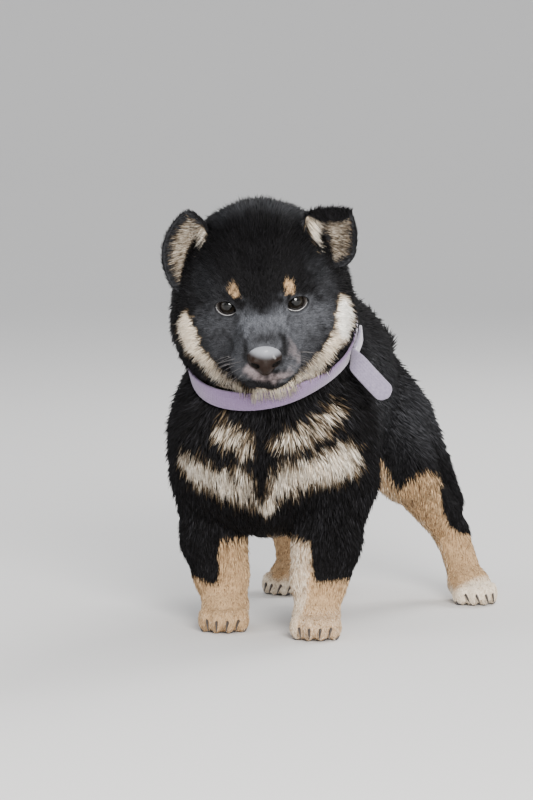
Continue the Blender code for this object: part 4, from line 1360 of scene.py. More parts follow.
def coat_regions(points):
    """For each point, which coat piece it belongs to."""
    head, body = in_frame(points, HEAD), in_body(points)
    on_head = in_band(points)[2] > 0
    away = []
    for where, middle, _ in COAT_PIECES.values():
        local = head if where == "head" else body
        away.append(np.linalg.norm(local - np.array(middle), axis=1))
        away[-1][on_head != (where == "head")] += OUT_OF_REACH
    return np.array(away).argmin(axis=0)


# The neckband


def band_axes():
    tilt = math.radians(BAND_TILT)
    across = np.array((1.0, 0.0, 0.0))
    ahead = np.array((0.0, -math.cos(tilt), -math.sin(tilt)))
    up = np.array((0.0, -math.sin(tilt), math.cos(tilt)))
    return across, ahead, up


def in_band(points):
    """Each point's angle from the throat, its distance from the band's axis and its height."""
    across, ahead, up = band_axes()
    local = in_body(points) - np.array(BAND_CENTRE)
    angle = np.degrees(np.arctan2(local @ across, local @ ahead))
    return angle, np.hypot(local @ across, local @ ahead), local @ up


def girth(rise, offset, count=120):
    """Points around the neck in the band's plane raised by rise, offset from the pressed coat."""
    across, ahead, up = band_axes()
    centre = np.array(BODY @ mm(*BAND_CENTRE)) + up * rise * MM
    angles = np.arange(count) * math.tau / count
    rays = np.cos(angles)[:, None] * across + np.sin(angles)[:, None] * ahead
    reach = np.arange(25 * MM, 80 * MM, 0.25 * MM)
    places = centre + rays[:, None, :] * reach[None, :, None]
    outside = field(places.reshape(-1, 3), MASSES).reshape(count, -1) > -BAND_SINK * MM
    radii = reach[outside.argmax(axis=1)]
    for _ in range(32):
        radii = (np.roll(radii, 1) + 2 * radii + np.roll(radii, -1)) / 4
    return centre + rays * (radii + offset * MM)[:, None]


def woven(name, sections, lengths, closed, finish):
    """A strap through like sections, with a map in metres along and around it."""
    bm = bmesh.new()
    layer = bm.loops.layers.uv.new("weave")
    rows = [[bm.verts.new(point) for point in section] for section in sections]
    count = len(rows[0])
    around = [0.0]
    for i in range(count):
        step = Vector(sections[0][(i + 1) % count]) - Vector(sections[0][i])
        around.append(around[-1] + step.length)
    pairs = [(i, i + 1) for i in range(len(rows) - 1)] + ([(len(rows) - 1, 0)] if closed else [])
    for a, b in pairs:
        far = lengths[b] if b else lengths[-1] + (lengths[1] - lengths[0])
        for i in range(count):
            j = (i + 1) % count
            face = bm.faces.new((rows[a][i], rows[a][j], rows[b][j], rows[b][i]))
            face.smooth = True
            along = (lengths[a], lengths[a], far, far)
            across = (around[i], around[i + 1], around[i + 1], around[i])
            for loop, *corner in zip(face.loops, along, across):
                loop[layer].uv = corner
    if not closed:
        bm.faces.new(reversed(rows[0]))
        bm.faces.new(rows[-1])
    bmesh.ops.recalc_face_normals(bm, faces=bm.faces)
    obj = from_bmesh(name, bm)
    obj.data.materials.append(finish)
    return obj


def strap_section(width, thickness):
    """A flat section with round edges: places across and out, both from the middle."""
    half, deep = width / 2, thickness / 2
    section = []
    for centre, start in ((half - deep, -90), (-half + deep, 90)):
        for step in range(5):
            angle = math.radians(start + 180 * step / 4)
            section.append((centre + deep * math.cos(angle), deep * math.sin(angle)))
    return section


def make_neckband(finish):
    half = BAND_WIDTH / 2
    low, high = girth(-half, BAND_THICKNESS / 2), girth(half, BAND_THICKNESS / 2)
    middle = (low + high) / 2
    profile = strap_section(BAND_WIDTH, BAND_THICKNESS)
    sections = []
    for i, place in enumerate(middle):
        before, after = middle[i - 1], middle[(i + 1) % len(middle)]
        along = (after - before) / np.linalg.norm(after - before)
        wide = high[i] - low[i]
        wide = wide / np.linalg.norm(wide)
        out = np.cross(along, wide)
        sections.append([place + (wide * w + out * t) * MM for w, t in profile])
    steps = np.linalg.norm(np.roll(middle, -1, axis=0) - middle, axis=1)
    lengths = np.concatenate([[0.0], np.cumsum(steps)[:-1]])
    band = woven("neckband_cloth", sections, lengths, True, finish)
    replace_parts(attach(band, "root"), "neckband")


# The strap's free end: the places where it lies on the band, how far it first follows the band on
# and stands off from it, then where it points and how its width slants
STRAP_ON_BAND = (-3, -2, -1, 0, 1)
STRAP_STEPS = 40
STRAP_LIFT = 8
STRAP_OFF = (5, 0, 1)
STRAP_AIM = (0.71, -0.09, -0.70)
STRAP_SLANT = (0.752, 0.274, 0.6)


def strap_path():
    """The strap end's middle line and the direction of its width at each place."""
    offset = BAND_THICKNESS * 1.5 + 0.5
    low, high = girth(-BAND_WIDTH / 2, offset, 60), girth(BAND_WIDTH / 2, offset, 60)
    path = [Vector((low[i] + high[i]) / 2) for i in STRAP_ON_BAND]
    widths = [Vector(high[i] - low[i]).normalized() for i in STRAP_ON_BAND]
    leave, own = path[-1], widths[-1]
    lift = leave + (leave - path[-2]).normalized() * STRAP_LIFT * MM + mm(*STRAP_OFF)
    tip = leave + mm(*STRAP_AIM) * STRAP_LENGTH
    slant = Vector(STRAP_SLANT).normalized()
    for step in range(1, STRAP_STEPS + 1):
        t = step / STRAP_STEPS
        path.append(leave * (1 - t) ** 2 + lift * 2 * t * (1 - t) + tip * t * t)
        widths.append(own.lerp(slant, min(2.2 * t, 1.0)))
    return path, widths


def make_strap_end(finish):
    """The strap's free end: it lies on the band, then stands off outwards and down."""
    path, widths = strap_path()
    sections, lengths = [], [0.0]
    for index, (place, wide) in enumerate(zip(path, widths)):
        before, after = path[max(index - 1, 0)], path[min(index + 1, len(path) - 1)]
        along = (after - before).normalized()
        wide = (wide - along * wide.dot(along)).normalized()
        thick = along.cross(wide)
        to_tip = (path[-1] - place).length / (BAND_WIDTH * 0.45 * MM)
        round_end = math.sqrt(max(1 - max(1 - to_tip, 0.0) ** 2, 0.02))
        corners = strap_section(BAND_WIDTH * round_end, BAND_THICKNESS)
        sections.append([place + (wide * w + thick * t) * MM for w, t in corners])
        if index:
            lengths.append(lengths[-1] + (place - path[index - 1]).length)
    strap = woven("strap_end_cloth", sections, lengths, False, finish)
    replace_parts(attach(strap, "root"), "strap_end")


# Finishes


def mixed(tree, share, a, b, **settings):
    """The colour between two others, or one laid over the other."""
    links = {0: share, 6: a, 7: b}
    return node(tree, "ShaderNodeMix", links, data_type="RGBA", **settings).outputs[2]


# Each of the coat's colours at its darkest and its lightest
SHADES = {
    "black": ((0.0020, 0.0018, 0.0018, 1), (0.0095, 0.0088, 0.0092, 1)),
    # grey serves both the grey hairs and the painted sheen
    "grey": ((0.020, 0.022, 0.028, 1), (0.43, 0.445, 0.49, 1)),
    "tan": ((0.15, 0.075, 0.027, 1), (0.86, 0.60, 0.35, 1)),
    "umber": ((0.030, 0.020, 0.011, 1), (0.24, 0.165, 0.090, 1)),
    "cream": ((0.66, 0.53, 0.38, 1), (1.0, 0.94, 0.83, 1)),
    "pink": ((0.26, 0.20, 0.20, 1), (0.56, 0.46, 0.46, 1)),
}
DUSTY_BLACK = (0.036, 0.035, 0.040, 1)
WHITE = (1.0, 0.98, 0.93, 1)


def colour_group():
    """The coat's colour from its marks, a tuft's own tone and the place along it."""
    tree = bpy.data.node_groups.new("coat_colour", "ShaderNodeTree")
    for name in (*MARKS, "Tone", "Along"):
        tree.interface.new_socket(name, in_out="INPUT", socket_type="NodeSocketFloat")
    tree.interface.new_socket("Colour", in_out="OUTPUT", socket_type="NodeSocketColor")
    given = tree.nodes.new("NodeGroupInput").outputs
    out = tree.nodes.new("NodeGroupOutput")

    def times(a, b, clamp=False):
        return figure(tree, "MULTIPLY", a, b, clamp)

    def edged(mask, start, steep, ragged=0.5):
        """A mark with its edge broken tuft by tuft."""
        uneven = times(figure(tree, "SUBTRACT", given["Tone"], 0.5), ragged)
        shifted = figure(tree, "ADD", mask, times(uneven, times(mask, 4.0, clamp=True)))
        return times(figure(tree, "SUBTRACT", shifted, start), steep, clamp=True)

    light = figure(tree, "ADD", times(given["Tone"], 0.6), times(given["Along"], 0.4))
    shade = {name: mixed(tree, light, *ends) for name, ends in SHADES.items() if name != "black"}
    black = mixed(tree, figure(tree, "POWER", given["Along"], 1.6), *SHADES["black"])
    dusty = times(figure(tree, "POWER", given["Tone"], 3.0), 0.6)
    colour = mixed(tree, dusty, black, DUSTY_BLACK)
    colour = mixed(tree, given["Grey"], colour, shade["grey"])
    colour = mixed(tree, given["Pink"], colour, shade["pink"])
    colour = mixed(tree, edged(given["Tan"], 0.36, 2.2, 0.8), colour, shade["tan"])
    darker = figure(tree, "SUBTRACT", 1.0, given["Tan"])
    colour = mixed(tree, times(edged(given["Cream"], 0.14, 4.0), darker), colour, shade["umber"])
    colour = mixed(tree, edged(given["Cream"], 0.34, 1.8), colour, shade["cream"])
    # Cream above 1 turns white: white hair on the chin and in the chest's wisps, and a painted highlight
    # on the left cheek
    bright = times(figure(tree, "SUBTRACT", given["Cream"], 1.0), 2.6, clamp=True)
    feed(tree, out, {"Colour": mixed(tree, bright, colour, WHITE)})
    return tree


def new_material(name):
    material = bpy.data.materials.new(name)
    material.use_nodes = True
    tree = material.node_tree
    return material, tree, tree.nodes["Principled BSDF"]


def attribute(tree, name):
    return node(tree, "ShaderNodeAttribute", attribute_name=name).outputs["Fac"]


def own_place(tree):
    return node(tree, "ShaderNodeTexCoord").outputs["Object"]


def noise(tree, place, scale, detail):
    links = {"Vector": place, "Scale": scale, "Detail": detail}
    return node(tree, "ShaderNodeTexNoise", links).outputs[0]


def pebbles(tree, place, scale):
    return node(tree, "ShaderNodeTexVoronoi", {"Vector": place, "Scale": scale}).outputs["Distance"]


def bumped(tree, height, strength, deep):
    links = {"Height": height, "Strength": strength, "Distance": deep}
    return node(tree, "ShaderNodeBump", links).outputs[0]


def coat_finish(name, group, skin):
    """Fur: the shared colour on a soft sheen. Skin: the same colour, darker, with a fine pile."""
    material, tree, shader = new_material(name)
    given = {key: attribute(tree, key.lower()) for key in MARKS}
    if skin:
        fine = noise(tree, own_place(tree), 1400.0, 3.0)
        given.update({"Tone": fine, "Along": 0.1})
        feed(tree, shader, {"Normal": bumped(tree, fine, 0.5, 0.0003)})
    else:
        given.update({key: attribute(tree, key.lower()) for key in ("Tone", "Along")})
    colour = node(tree, "ShaderNodeGroup", given, node_tree=group).outputs["Colour"]
    rough = 0.85 if skin else 0.6
    feed(tree, shader, {"Base Color": colour, "Roughness": rough, "Specular IOR Level": 0.10})
    return material


# The eye's colours from the pupil's middle to the eye's side
IRIS_RINGS = (
    (0.0, (0.001, 0.001, 0.001, 1)),
    (0.26, (0.001, 0.001, 0.001, 1)),
    (0.30, (0.010, 0.008, 0.006, 1)),
    (0.50, (0.022, 0.017, 0.012, 1)),
    (0.56, (0.003, 0.003, 0.003, 1)),
    (0.66, (0.012, 0.009, 0.008, 1)),
    (0.85, (0.08, 0.07, 0.065, 1)),
    (1.0, (0.35, 0.32, 0.30, 1)),
)


def eye_finish():
    """Very dark iris with fine rays, a black pupil, under a wet clear coat."""
    material, tree, shader = new_material("wet_eye")
    iris = node(tree, "ShaderNodeAttribute", attribute_name="iris").outputs["Vector"]
    rays = noise(tree, iris, 5.0, 4.0)
    ramp = node(tree, "ShaderNodeValToRGB", {"Fac": attribute(tree, "ring")})
    stops = ramp.color_ramp.elements
    (_, first), *between, (_, last) = IRIS_RINGS
    stops[0].color, stops[1].color = first, last
    for position, colour in between:
        stops.new(position).color = colour
    colour = mixed(tree, 0.7, ramp.outputs["Color"], rays, blend_type="MULTIPLY")
    look = {
        "Base Color": colour,
        "Roughness": 0.5,
        "Specular IOR Level": 0.0,
        "Coat Weight": 1.0,
        "Coat IOR": 1.45,
        "Coat Roughness": 0.015,
    }
    feed(tree, shader, look)
    return material


def leather_finish(name, dark, light, scale, rough, coat=0.0):
    """Skin without hair: a pebbled surface between two colours."""
    material, tree, shader = new_material(name)
    place = own_place(tree)
    look = {
        "Base Color": mixed(tree, noise(tree, place, scale * 0.15, 3.0), (*dark, 1), (*light, 1)),
        "Normal": bumped(tree, pebbles(tree, place, scale), 0.35, 0.0002),
        "Roughness": rough,
        "Coat Weight": coat,
        "Coat Roughness": 0.25,
    }
    feed(tree, shader, look)
    return material


NOSE_FRONT = (0.010, 0.0046, 0.0025, 1)
# A painted pale sheen of the sky on the nose's top
NOSE_TOP_SHEEN = (0.23, 0.235, 0.257, 1)
# Painted shade deep inside the nostrils
NOSTRIL_SHADE = (0.0008, 0.0005, 0.0005, 1)


def nose_finish():
    """Damp nose leather: dark brown in front, with a painted pale grey sheen of the sky on top."""
    material, tree, shader = new_material("nose_leather")
    deep = attribute(tree, "deep")
    # The painted sheen lightens the nose's top over the dark leather
    leather = mixed(tree, attribute(tree, "top"), NOSE_FRONT, NOSE_TOP_SHEEN)
    damp = figure(tree, "SUBTRACT", 1.0, deep)
    look = {
        # Painted shade darkens the nostrils
        "Base Color": mixed(tree, deep, leather, NOSTRIL_SHADE),
        "Normal": bumped(tree, pebbles(tree, own_place(tree), 1300.0), 0.45, 0.0003),
        "Coat Weight": figure(tree, "MULTIPLY", damp, 0.22),
        "Roughness": 0.45,
        "Specular IOR Level": 0.06,
        "Coat Roughness": 0.10,
    }
    feed(tree, shader, look)
    return material


def cloth_finish(name, dark, light):
    """Soft webbing: a fine weave with a light nap."""
    material, tree, shader = new_material(name)
    weave = node(tree, "ShaderNodeUVMap", uv_map="weave").outputs[0]
    links = {"Vector": weave, "Scale": 240.0, "Distortion": 0.6}
    warp, weft = (node(tree, "ShaderNodeTexWave", links, bands_direction=way) for way in "XY")
    threads = figure(tree, "MULTIPLY", warp.outputs["Fac"], weft.outputs["Fac"])
    nap = noise(tree, own_place(tree), 900.0, 4.0)
    look = {
        "Base Color": mixed(tree, nap, (*dark, 1), (*light, 1)),
        "Normal": bumped(tree, figure(tree, "ADD", threads, nap), 0.5, 0.00025),
        "Roughness": 0.8,
        "Sheen Weight": 0.4,
    }
    feed(tree, shader, look)
    return material


def rim_finish():
    """The wet edge of the lids: dark above, and paler below with a painted reflection."""
    material, tree, shader = new_material("lid_rim")
    colour = mixed(tree, attribute(tree, "low"), (0.045, 0.043, 0.046, 1), (0.22, 0.21, 0.215, 1))
    feed(tree, shader, {"Base Color": colour, "Roughness": 0.3, "Coat Weight": 0.5})
    return material


def studio_finish():
    material, tree, shader = new_material("studio_floor")
    feed(tree, shader, {"Base Color": (0.72, 0.71, 0.70, 1), "Roughness": 0.9})
    return material


# The bare pieces

# Where each eye looks, down and around in degrees, and the cornea's dome
GAZE = {"left": (3.0, 25.0), "right": (3.0, 16.0)}
CORNEA_RADIUS = 4.7
CORNEA_RISE = 0.85

# The lower edge of the painted sheen on the nose's top and how soft it is, in pixels of the photo
NOSE_SHEEN_ROW = 357.5
NOSE_SHEEN_CURVE = 0.02
NOSE_MIDDLE = 266.0
NOSE_SHEEN_SOFT = (5, 4)

# How far from a nostril's hollow the painted shade of the nostril still darkens the nose
NOSTRIL_SHADE_EDGE = 0.45

# The wet rim of the lids: its radius, and below what height a painted reflection makes it pale
RIM_RADIUS = 0.34
RIM_SHEEN_BELOW = -0.6


def eye_point(unit_place):
    """Where a place of a unit ball stands on the eyeball, with its angle from the pupil."""
    ball = EYE_RADIUS - 0.15
    centre = ball + CORNEA_RISE - CORNEA_RADIUS
    angle = math.acos(max(-1.0, min(1.0, -unit_place.y)))
    beyond = CORNEA_RADIUS**2 - (centre * math.sin(angle)) ** 2
    dome = centre * math.cos(angle) + math.sqrt(beyond)
    return unit_place * (max(dome, ball) if unit_place.y < 0 else ball) * MM, math.degrees(angle)


def make_eye(name, finish):
    """An eyeball with a domed cornea, turned to look at the camera.

    The ring is the share of the way from the pupil's middle to the eye's side.
    """
    bm = bmesh.new()
    turn = Matrix.Rotation(math.radians(90), 4, "X")
    bmesh.ops.create_uvsphere(bm, u_segments=80, v_segments=72, radius=1.0, matrix=turn)
    down, around = GAZE[name]
    own = Matrix.Translation(eye_frame(SIDES[name]).translation) @ turned((down, 0, around))
    ring, iris = [], []
    for vertex in bm.verts:
        flat = Vector((vertex.co.x, vertex.co.z))
        flat = flat.normalized() if flat.length > 1e-6 else flat
        place, angle = eye_point(vertex.co)
        vertex.co = own @ place
        ring.append(min(angle / 60.0, 1.0))
        iris.append((flat.x * 1.5, flat.y * 1.5, angle / 120.0))
    obj = from_bmesh("eyeball_" + name, bm)
    obj.data.shade_smooth()
    store(obj.data, "ring", np.array(ring))
    store(obj.data, "iris", np.array(iris))
    obj.data.materials.append(finish)
    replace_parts(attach(obj, "root"), "eye_" + name)


def lid_path(side, count):
    """Places around the opening of the lids, on the eyeball, in the eye's frame."""
    wide, high = LIDS
    path = []
    for step in range(count):
        angle = math.tau * step / count
        pointed = math.copysign(abs(math.cos(angle)) ** (2 / LID_POINT), math.cos(angle))
        x = pointed * (wide - 0.2)
        z = math.sin(angle) * (high - 0.2) + LID_SLANT * side * x
        y = -math.sqrt((EYE_RADIUS + 0.3) ** 2 - x * x - z * z)
        path.append(Vector((x, y, z)))
    return path


def make_lid_rim(name, finish):
    """The wet rim of the lids: a fine closed tube around the opening, on the eyeball."""
    own = eye_frame(SIDES[name])
    count, ring = 72, 10
    path = lid_path(SIDES[name], count)
    places, low = [], []
    for index, place in enumerate(path):
        along = (path[(index + 1) % count] - path[index - 1]).normalized()
        out = place.normalized()
        aside = along.cross(out)
        for i in range(ring):
            angle = math.tau * i / ring
            away = (out * math.cos(angle) + aside * math.sin(angle)) * RIM_RADIUS
            places.append(own @ ((place + away) * MM))
            # A painted reflection makes the lower rim pale
            low.append(1.0 if place.z < RIM_SHEEN_BELOW else 0.0)
    obj = from_arrays("lid_rim_" + name, places, tube_faces(0, count, ring, closed=True), finish)
    store(obj.data, "low", np.array(low))
    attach(obj, "root")


def make_nose(finish):
    """The nose pad: a painted pale sheen on its top, and painted shade that darkens its nostrils."""
    hollows = nostril_hollows()
    nose = formed("nose_pad", nose_masses(), 0.32 * MM, hollows)
    places = coordinates(nose.data)
    across, down = photo_place(places)
    down = down + NOSE_SHEEN_CURVE * (across - NOSE_MIDDLE) ** 2
    above, below = NOSE_SHEEN_SOFT
    # How much painted sheen lies on the nose's top at each point
    store(nose.data, "top", 1 - smooth_step(NOSE_SHEEN_ROW - above, NOSE_SHEEN_ROW + below, down))
    # How deep in a nostril each point lies, for its painted shade
    nearest = np.min([distance(hollow, places) for hollow in hollows[1:]], axis=0) / MM
    store(nose.data, "deep", 1 - smooth_step(0.0, NOSTRIL_SHADE_EDGE, nearest))
    nose.data.shade_smooth()
    nose.data.materials.append(finish)
    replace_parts(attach(nose, "root"), "nose")


def all_paws():
    for name in SIDES:
        yield "fore_" + name, FORE_PAWS[name], FORE_PAW_SIZE
        yield "hind_" + name, HIND_PAWS[name], HIND_PAW_SIZE


def claw_places(own, size, rings, count):
    """Rings of one claw, which bends down and ends round."""
    places = []
    for step in range(rings):
        share = step / (rings - 1)
        radius = (1.0 - 0.75 * share**1.3) * size * (1 if share < 1 else 0.5)
        y = (-6.2 - CLAW_LENGTH * share) * size
        z = (6.6 - 4.4 * share**1.6) * size
        for i in range(count):
            angle = math.tau * i / count
            x = radius * 0.85 * math.cos(angle)
            places.append(own @ mm(x, y, z + 1.15 * radius * math.sin(angle)))
    return places


def make_claws(finish):
    """Curved horn claws with round tips, one piece for each paw."""
    rings, count = 9, 12
    for name, (place, heading), size in all_paws():
        places, faces = [], []
        for spread, ahead in zip(TOE_SPREAD, TOE_REACH):
            own = paw_frame(place, heading) @ Matrix.Translation(mm(spread * size, ahead * size, 0))
            own = own @ turned((0, 0, -spread * size * 1.2))
            faces += tube_faces(len(places), rings, count)
            places += claw_places(own, size, rings, count)
        claws = from_arrays("claws_" + name, places, faces, finish)
        nodes = [f"claw_{name}_{toe + 1}" for toe in range(len(TOE_SPREAD))]
        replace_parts(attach(claws, "root"), *nodes)


def make_pads(finish):
    """The bare pads under each paw: four toe pads and one broad pad, flat on the floor."""
    for name, (place, heading), size in all_paws():
        own = paw_frame(place, heading)
        radii = (8.2 * size, 6.8 * size, 3.2)
        masses = [lump((0, 1.5 * size, 2.4), radii, blend=1.0, frame=own)]
        for spread, ahead in zip(TOE_SPREAD, TOE_REACH):
            centre = (spread * size, (ahead - 0.2) * size, 1.9)
            masses.append(lump(centre, (2.7 * size, 3.6 * size, 2.2), blend=0.3, frame=own))
        pads = formed("pads_" + name, masses, 0.6 * MM)
        kept_above(pads.data, 0.0)
        pads.data.shade_smooth()
        pads.data.materials.append(finish)
        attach(pads, "root")


# The coat on the skin


def skin_marks(mesh):
    """Stores the coat's colour shares on a mesh."""
    for name, values in zip(MARKS, marks(coordinates(mesh))):
        store(mesh, name.lower(), values)


# How far the jaw's hair hangs over the band, and how long it is, at its least and its most
RUFF_OVERLAP = 6.0
RUFF_HAIR = (1.6, 11.0)


def ruff_share(rise):
    """Where the jaw's hair is combed straight down to the band."""
    return hump(rise, BAND_WIDTH / 2 - 1, BAND_WIDTH / 2 + 0.4, 9, 12)


def ruff_hang(angle):
    """How far the jaw's hair hangs over the band: most under the chin."""
    return np.maximum(hump(angle, -12, 8, 30, 48), 0.35 * hump(angle, 10, 30, 58, 68))


def coat_cover(places, near_band, rise):
    """0 where no tufts grow: under the band, on the soles, the nose, the eyes and the lips."""
    cover = np.ones(len(places))
    cover[near_band & (np.abs(rise) < BAND_WIDTH / 2 + 0.6)] = 0.0
    cover[places[:, 2] < 1.2 * MM] = 0.0
    cover[field(places, nose_masses()) < 0.5 * MM] = 0.0
    for side in SIDES.values():
        cover[in_lids(in_frame(places, eye_frame(side)), side, 0.5)] = 0.0
    cover[from_mouth(places) < 1.3 * MM] = 0.0
    return cover


def laid(vectors, normals):
    """Vectors laid flat on a surface, one unit long."""
    return unit(vectors - normals * (vectors * normals).sum(1)[:, None])


def skin_comb(mesh):
    """Stores how tufts grow on the skin, and where none do."""
    places = coordinates(mesh)
    normals = coordinates(mesh, "vertices", "normal")
    lie, hair, lift, _ = combed(places)
    lie = laid(lie, normals)
    angle, away, rise = in_band(places)
    near_band = (away < 62) & (np.abs(rise) < 40)
    ruff = ruff_share(rise) * near_band
    hang = ruff_hang(angle)
    over = rise - BAND_WIDTH / 2
    hair = hair * np.where(near_band & (rise > 0), np.clip(over / 10.0, 0.25, 1.0), 1.0)
    hair = hair * (1 - ruff) + np.clip(over + RUFF_OVERLAP * hang, *RUFF_HAIR) * MM * ruff
    flatter = 1 - 0.7 * np.clip(over / 8.0, 0.0, 1.0)
    lift = lift * (1 - ruff) + np.radians(20 + 42 * hang * flatter) * ruff
    fall = laid(-band_axes()[2][None], normals)
    lie = lie * (1 - ruff)[:, None] + fall * ruff[:, None]
    fine = np.where(rise > 0, 0.62 + 0.3 * ruff, 1.0)
    store(mesh, "comb", lie * np.cos(lift)[:, None] + normals * np.sin(lift)[:, None])
    store(mesh, "hair", hair)
    store(mesh, "girth", (0.16 * MM + 0.055 * hair) * fine)
    store(mesh, "cover", coat_cover(places, near_band, rise))


def emitters(skin):
    """One emitter for each coat piece: the skin's faces around its middle, unwrapped."""
    middles = coordinates(skin.data, "polygons", "center")
    region = coat_regions(middles)
    made = {}
    for index, (name, (_, _, density)) in enumerate(COAT_PIECES.items()):
        bm = bmesh.new()
        bm.from_mesh(skin.data)
        bm.faces.ensure_lookup_table()
        drop = [bm.faces[i] for i in np.nonzero(region != index)[0]]
        bmesh.ops.delete(bm, geom=drop, context="FACES")
        emitter = from_bmesh(name, bm)
        unwrapped(emitter)
        made[name] = (emitter, density)
    return made


def ear_ways(name, across, up):
    """The directions across and up the ear's back at each of its points."""
    own, step = ear_frame(name), 0.02
    pairs = list(zip(across, up))
    bases = np.array([own @ ear_point(a, u, name) for a, u in pairs])
    tops = np.array([own @ ear_point(a, min(u + step, 1), name) for a, u in pairs])
    asides = np.array([own @ ear_point(min(a + step, 1), u, name) for a, u in pairs])
    return unit(asides - bases), unit(tops - bases)


def ear_comb(mesh, name):
    """Marks and comb of an ear: black back and rim, cream fur inside round a hollow darkened by painted
    shade.
    """
    across, up = np.empty((2, len(mesh.vertices)), np.float32)
    mesh.attributes["across"].data.foreach_get("value", across)
    mesh.attributes["up"].data.foreach_get("value", up)
    aside, upward = ear_ways(name, across, up)
    normals = coordinates(mesh, "vertices", "normal")
    inner = (normals * np.cross(aside, upward)).sum(1) > 0.1
    medial = across * -SIDES[name]
    edge = np.maximum(np.abs(across), np.sqrt(np.clip(across**2 * (1 - up**2) + up**2, 0, 1)))
    # The ear's hollow: painted shade that takes out the cream and adds a little tan
    hollow = 1 - smooth_step(0.55, 1.0, np.hypot((medial - 0.15) / 0.52, (up + 0.25) / 0.62))
    fringe = smooth_step(0.35, 0.75, medial) * inner * hump(up, -0.55, -0.2, 0.5, 0.8)

    inward = aside * -np.sign(across)[:, None]
    over, hang = inward * 0.9 + upward * 0.25, inward * 0.35 - upward * 0.75
    front = over * (1 - fringe)[:, None] + hang * fringe[:, None]
    grow = unit(np.where(inner[:, None], front, upward + aside * 0.5 * across[:, None]))
    lift = np.where(inner, 0.5 + 0.45 * fringe, 0.28)

    flap = smooth_step(0.5, 0.7, up) * (EAR_FOLDS[name] > 0)
    inner_hair = 3.0 + 1.4 * smooth_step(0.5, 0.9, edge) + 4.0 * fringe - 1.4 * hollow
    cream = np.where(inner, (1 - smooth_step(0.84, 0.94, edge)) * (0.52 + 0.3 * fringe), 0.0)
    cream = np.maximum(cream, 0.95 * fringe * (edge < 0.97)) * (1 - 0.95 * hollow)
    kept = {
        "comb": grow * np.cos(lift)[:, None] + normals * np.sin(lift)[:, None],
        "hair": np.where(inner, inner_hair, 2.4 + 2.4 * flap) * MM,
        "girth": np.full(len(up), 0.24 * MM),
        "cover": np.where(up < -0.97, 0.0, 1.0),
        "tan": 0.22 * hollow * inner,
        "cream": cream,
        "grey": 0.1 * inner,
        "pink": np.zeros(len(up)),
    }
    for key, values in kept.items():
        store(mesh, key, values)


# Whiskers: how thick they are, how far they sag, how much they stray, and their shortest and longest
WHISKER_RADIUS = 0.11
WHISKER_SAG = 2.4
WHISKER_STRAY = 0.08
WHISKER_LENGTHS = (10, 17)


def whisker(start, aim, length, rings, count):
    """Rings of one whisker, which sags a little and tapers."""
    places = []
    for step in range(rings):
        t = step / (rings - 1)
        at = start + aim * length * t * MM + mm(0, 0, -WHISKER_SAG * t * t)
        radius = WHISKER_RADIUS * (1 - 0.9 * t)
        for i in range(count):
            angle = math.tau * i / count
            places.append(at + mm(0, radius * math.cos(angle), radius * math.sin(angle)))
    return places


def whiskers(finish):
    """Fine tapered whiskers from the muzzle's sides."""
    rng = np.random.default_rng(11)
    rings, count = 7, 4
    places, faces = [], []
    for side, row, column in itertools.product(SIDES.values(), range(3), range(4)):
        root = (side * (10.5 + column * 1.2), -58 + column * 3.2, -22.5 - row * 2.6)
        start = settled(np.array([HEAD @ mm(*root)]), MASSES, depth=LIP_DEPTH, rounds=10)[0]
        aim = HEAD.to_3x3() @ Vector((side * 0.9, -0.25 + 0.15 * column, -0.12 - 0.22 * row))
        aim = (aim.normalized() + Vector(rng.normal(0, WHISKER_STRAY, 3))).normalized()
        faces += tube_faces(len(places), rings, count)
        places += whisker(Vector(start), aim, rng.uniform(*WHISKER_LENGTHS), rings, count)
    obj = from_arrays("whiskers", places, faces, finish)
    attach(obj, "root")


# Studio


def make_camera():
    place, right, ahead, up = camera_axes()
    camera = bpy.data.cameras.new("camera")
    camera.sensor_fit = "VERTICAL"
    camera.sensor_height = 36.0
    camera.lens = camera.sensor_height * PHOTO_FOCUS / PHOTO_SIZE[1]
    obj = new_object("camera", camera)
    turn = Matrix((right, up, -ahead)).transposed()
    obj.matrix_world = Matrix.Translation(place) @ turn.to_4x4()
    SCENE.camera = obj


# Soft round lights: where each stands, its size in metres, its power in watts and its colour
LIGHTS = {
    "key": ((0.92, -1.55, 0.68), 0.8, 70, (1.0, 0.98, 0.95)),
    "fill": ((-1.3, -1.0, 0.7), 1.2, 7, (0.95, 0.97, 1.0)),
    "rim": ((0.5, 1.3, 1.3), 0.9, 22, (1.0, 0.99, 0.97)),
}
LIT_PLACE = Vector((0, 0, 0.12))


def soft_light(name, place, size, power, colour):
    light = bpy.data.lights.new(name, "AREA")
    light.shape = "DISK"
    light.size = size
    light.energy = power
    light.color = colour
    obj = new_object(name, light)
    obj.location = place
    obj.rotation_euler = (LIT_PLACE - Vector(place)).to_track_quat("-Z", "Y").to_euler()


# The studio's floor and wall, as radii and heights in metres
STUDIO_PROFILE = (
    (0.5, 0.0),
    (1.5, 0.0),
    (3.0, 0.0),
    (4.2, 0.16),
    (5.2, 0.62),
    (5.9, 1.3),
    (6.2, 2.2),
    (6.3, 3.6),
)
STUDIO_SIDES = 128
SKY = (0.95, 0.97, 1.0, 1)


def studio_floor():
    """A round floor that curves up into a wall."""
    bm = bmesh.new()
    inner = [bm.verts.new((0, 0, 0))] * STUDIO_SIDES
    for radius, height in STUDIO_PROFILE:
        turns = (math.tau * i / STUDIO_SIDES for i in range(STUDIO_SIDES))
        outer = [bm.verts.new((radius * math.cos(t), radius * math.sin(t), height)) for t in turns]
        for i in range(STUDIO_SIDES):
            j = (i + 1) % STUDIO_SIDES
            corners = (inner[i], outer[i], outer[j], inner[j])
            bm.faces.new(corners[:3] if inner[i] is inner[j] else corners)
        inner = outer
    return from_bmesh("floor", bm)


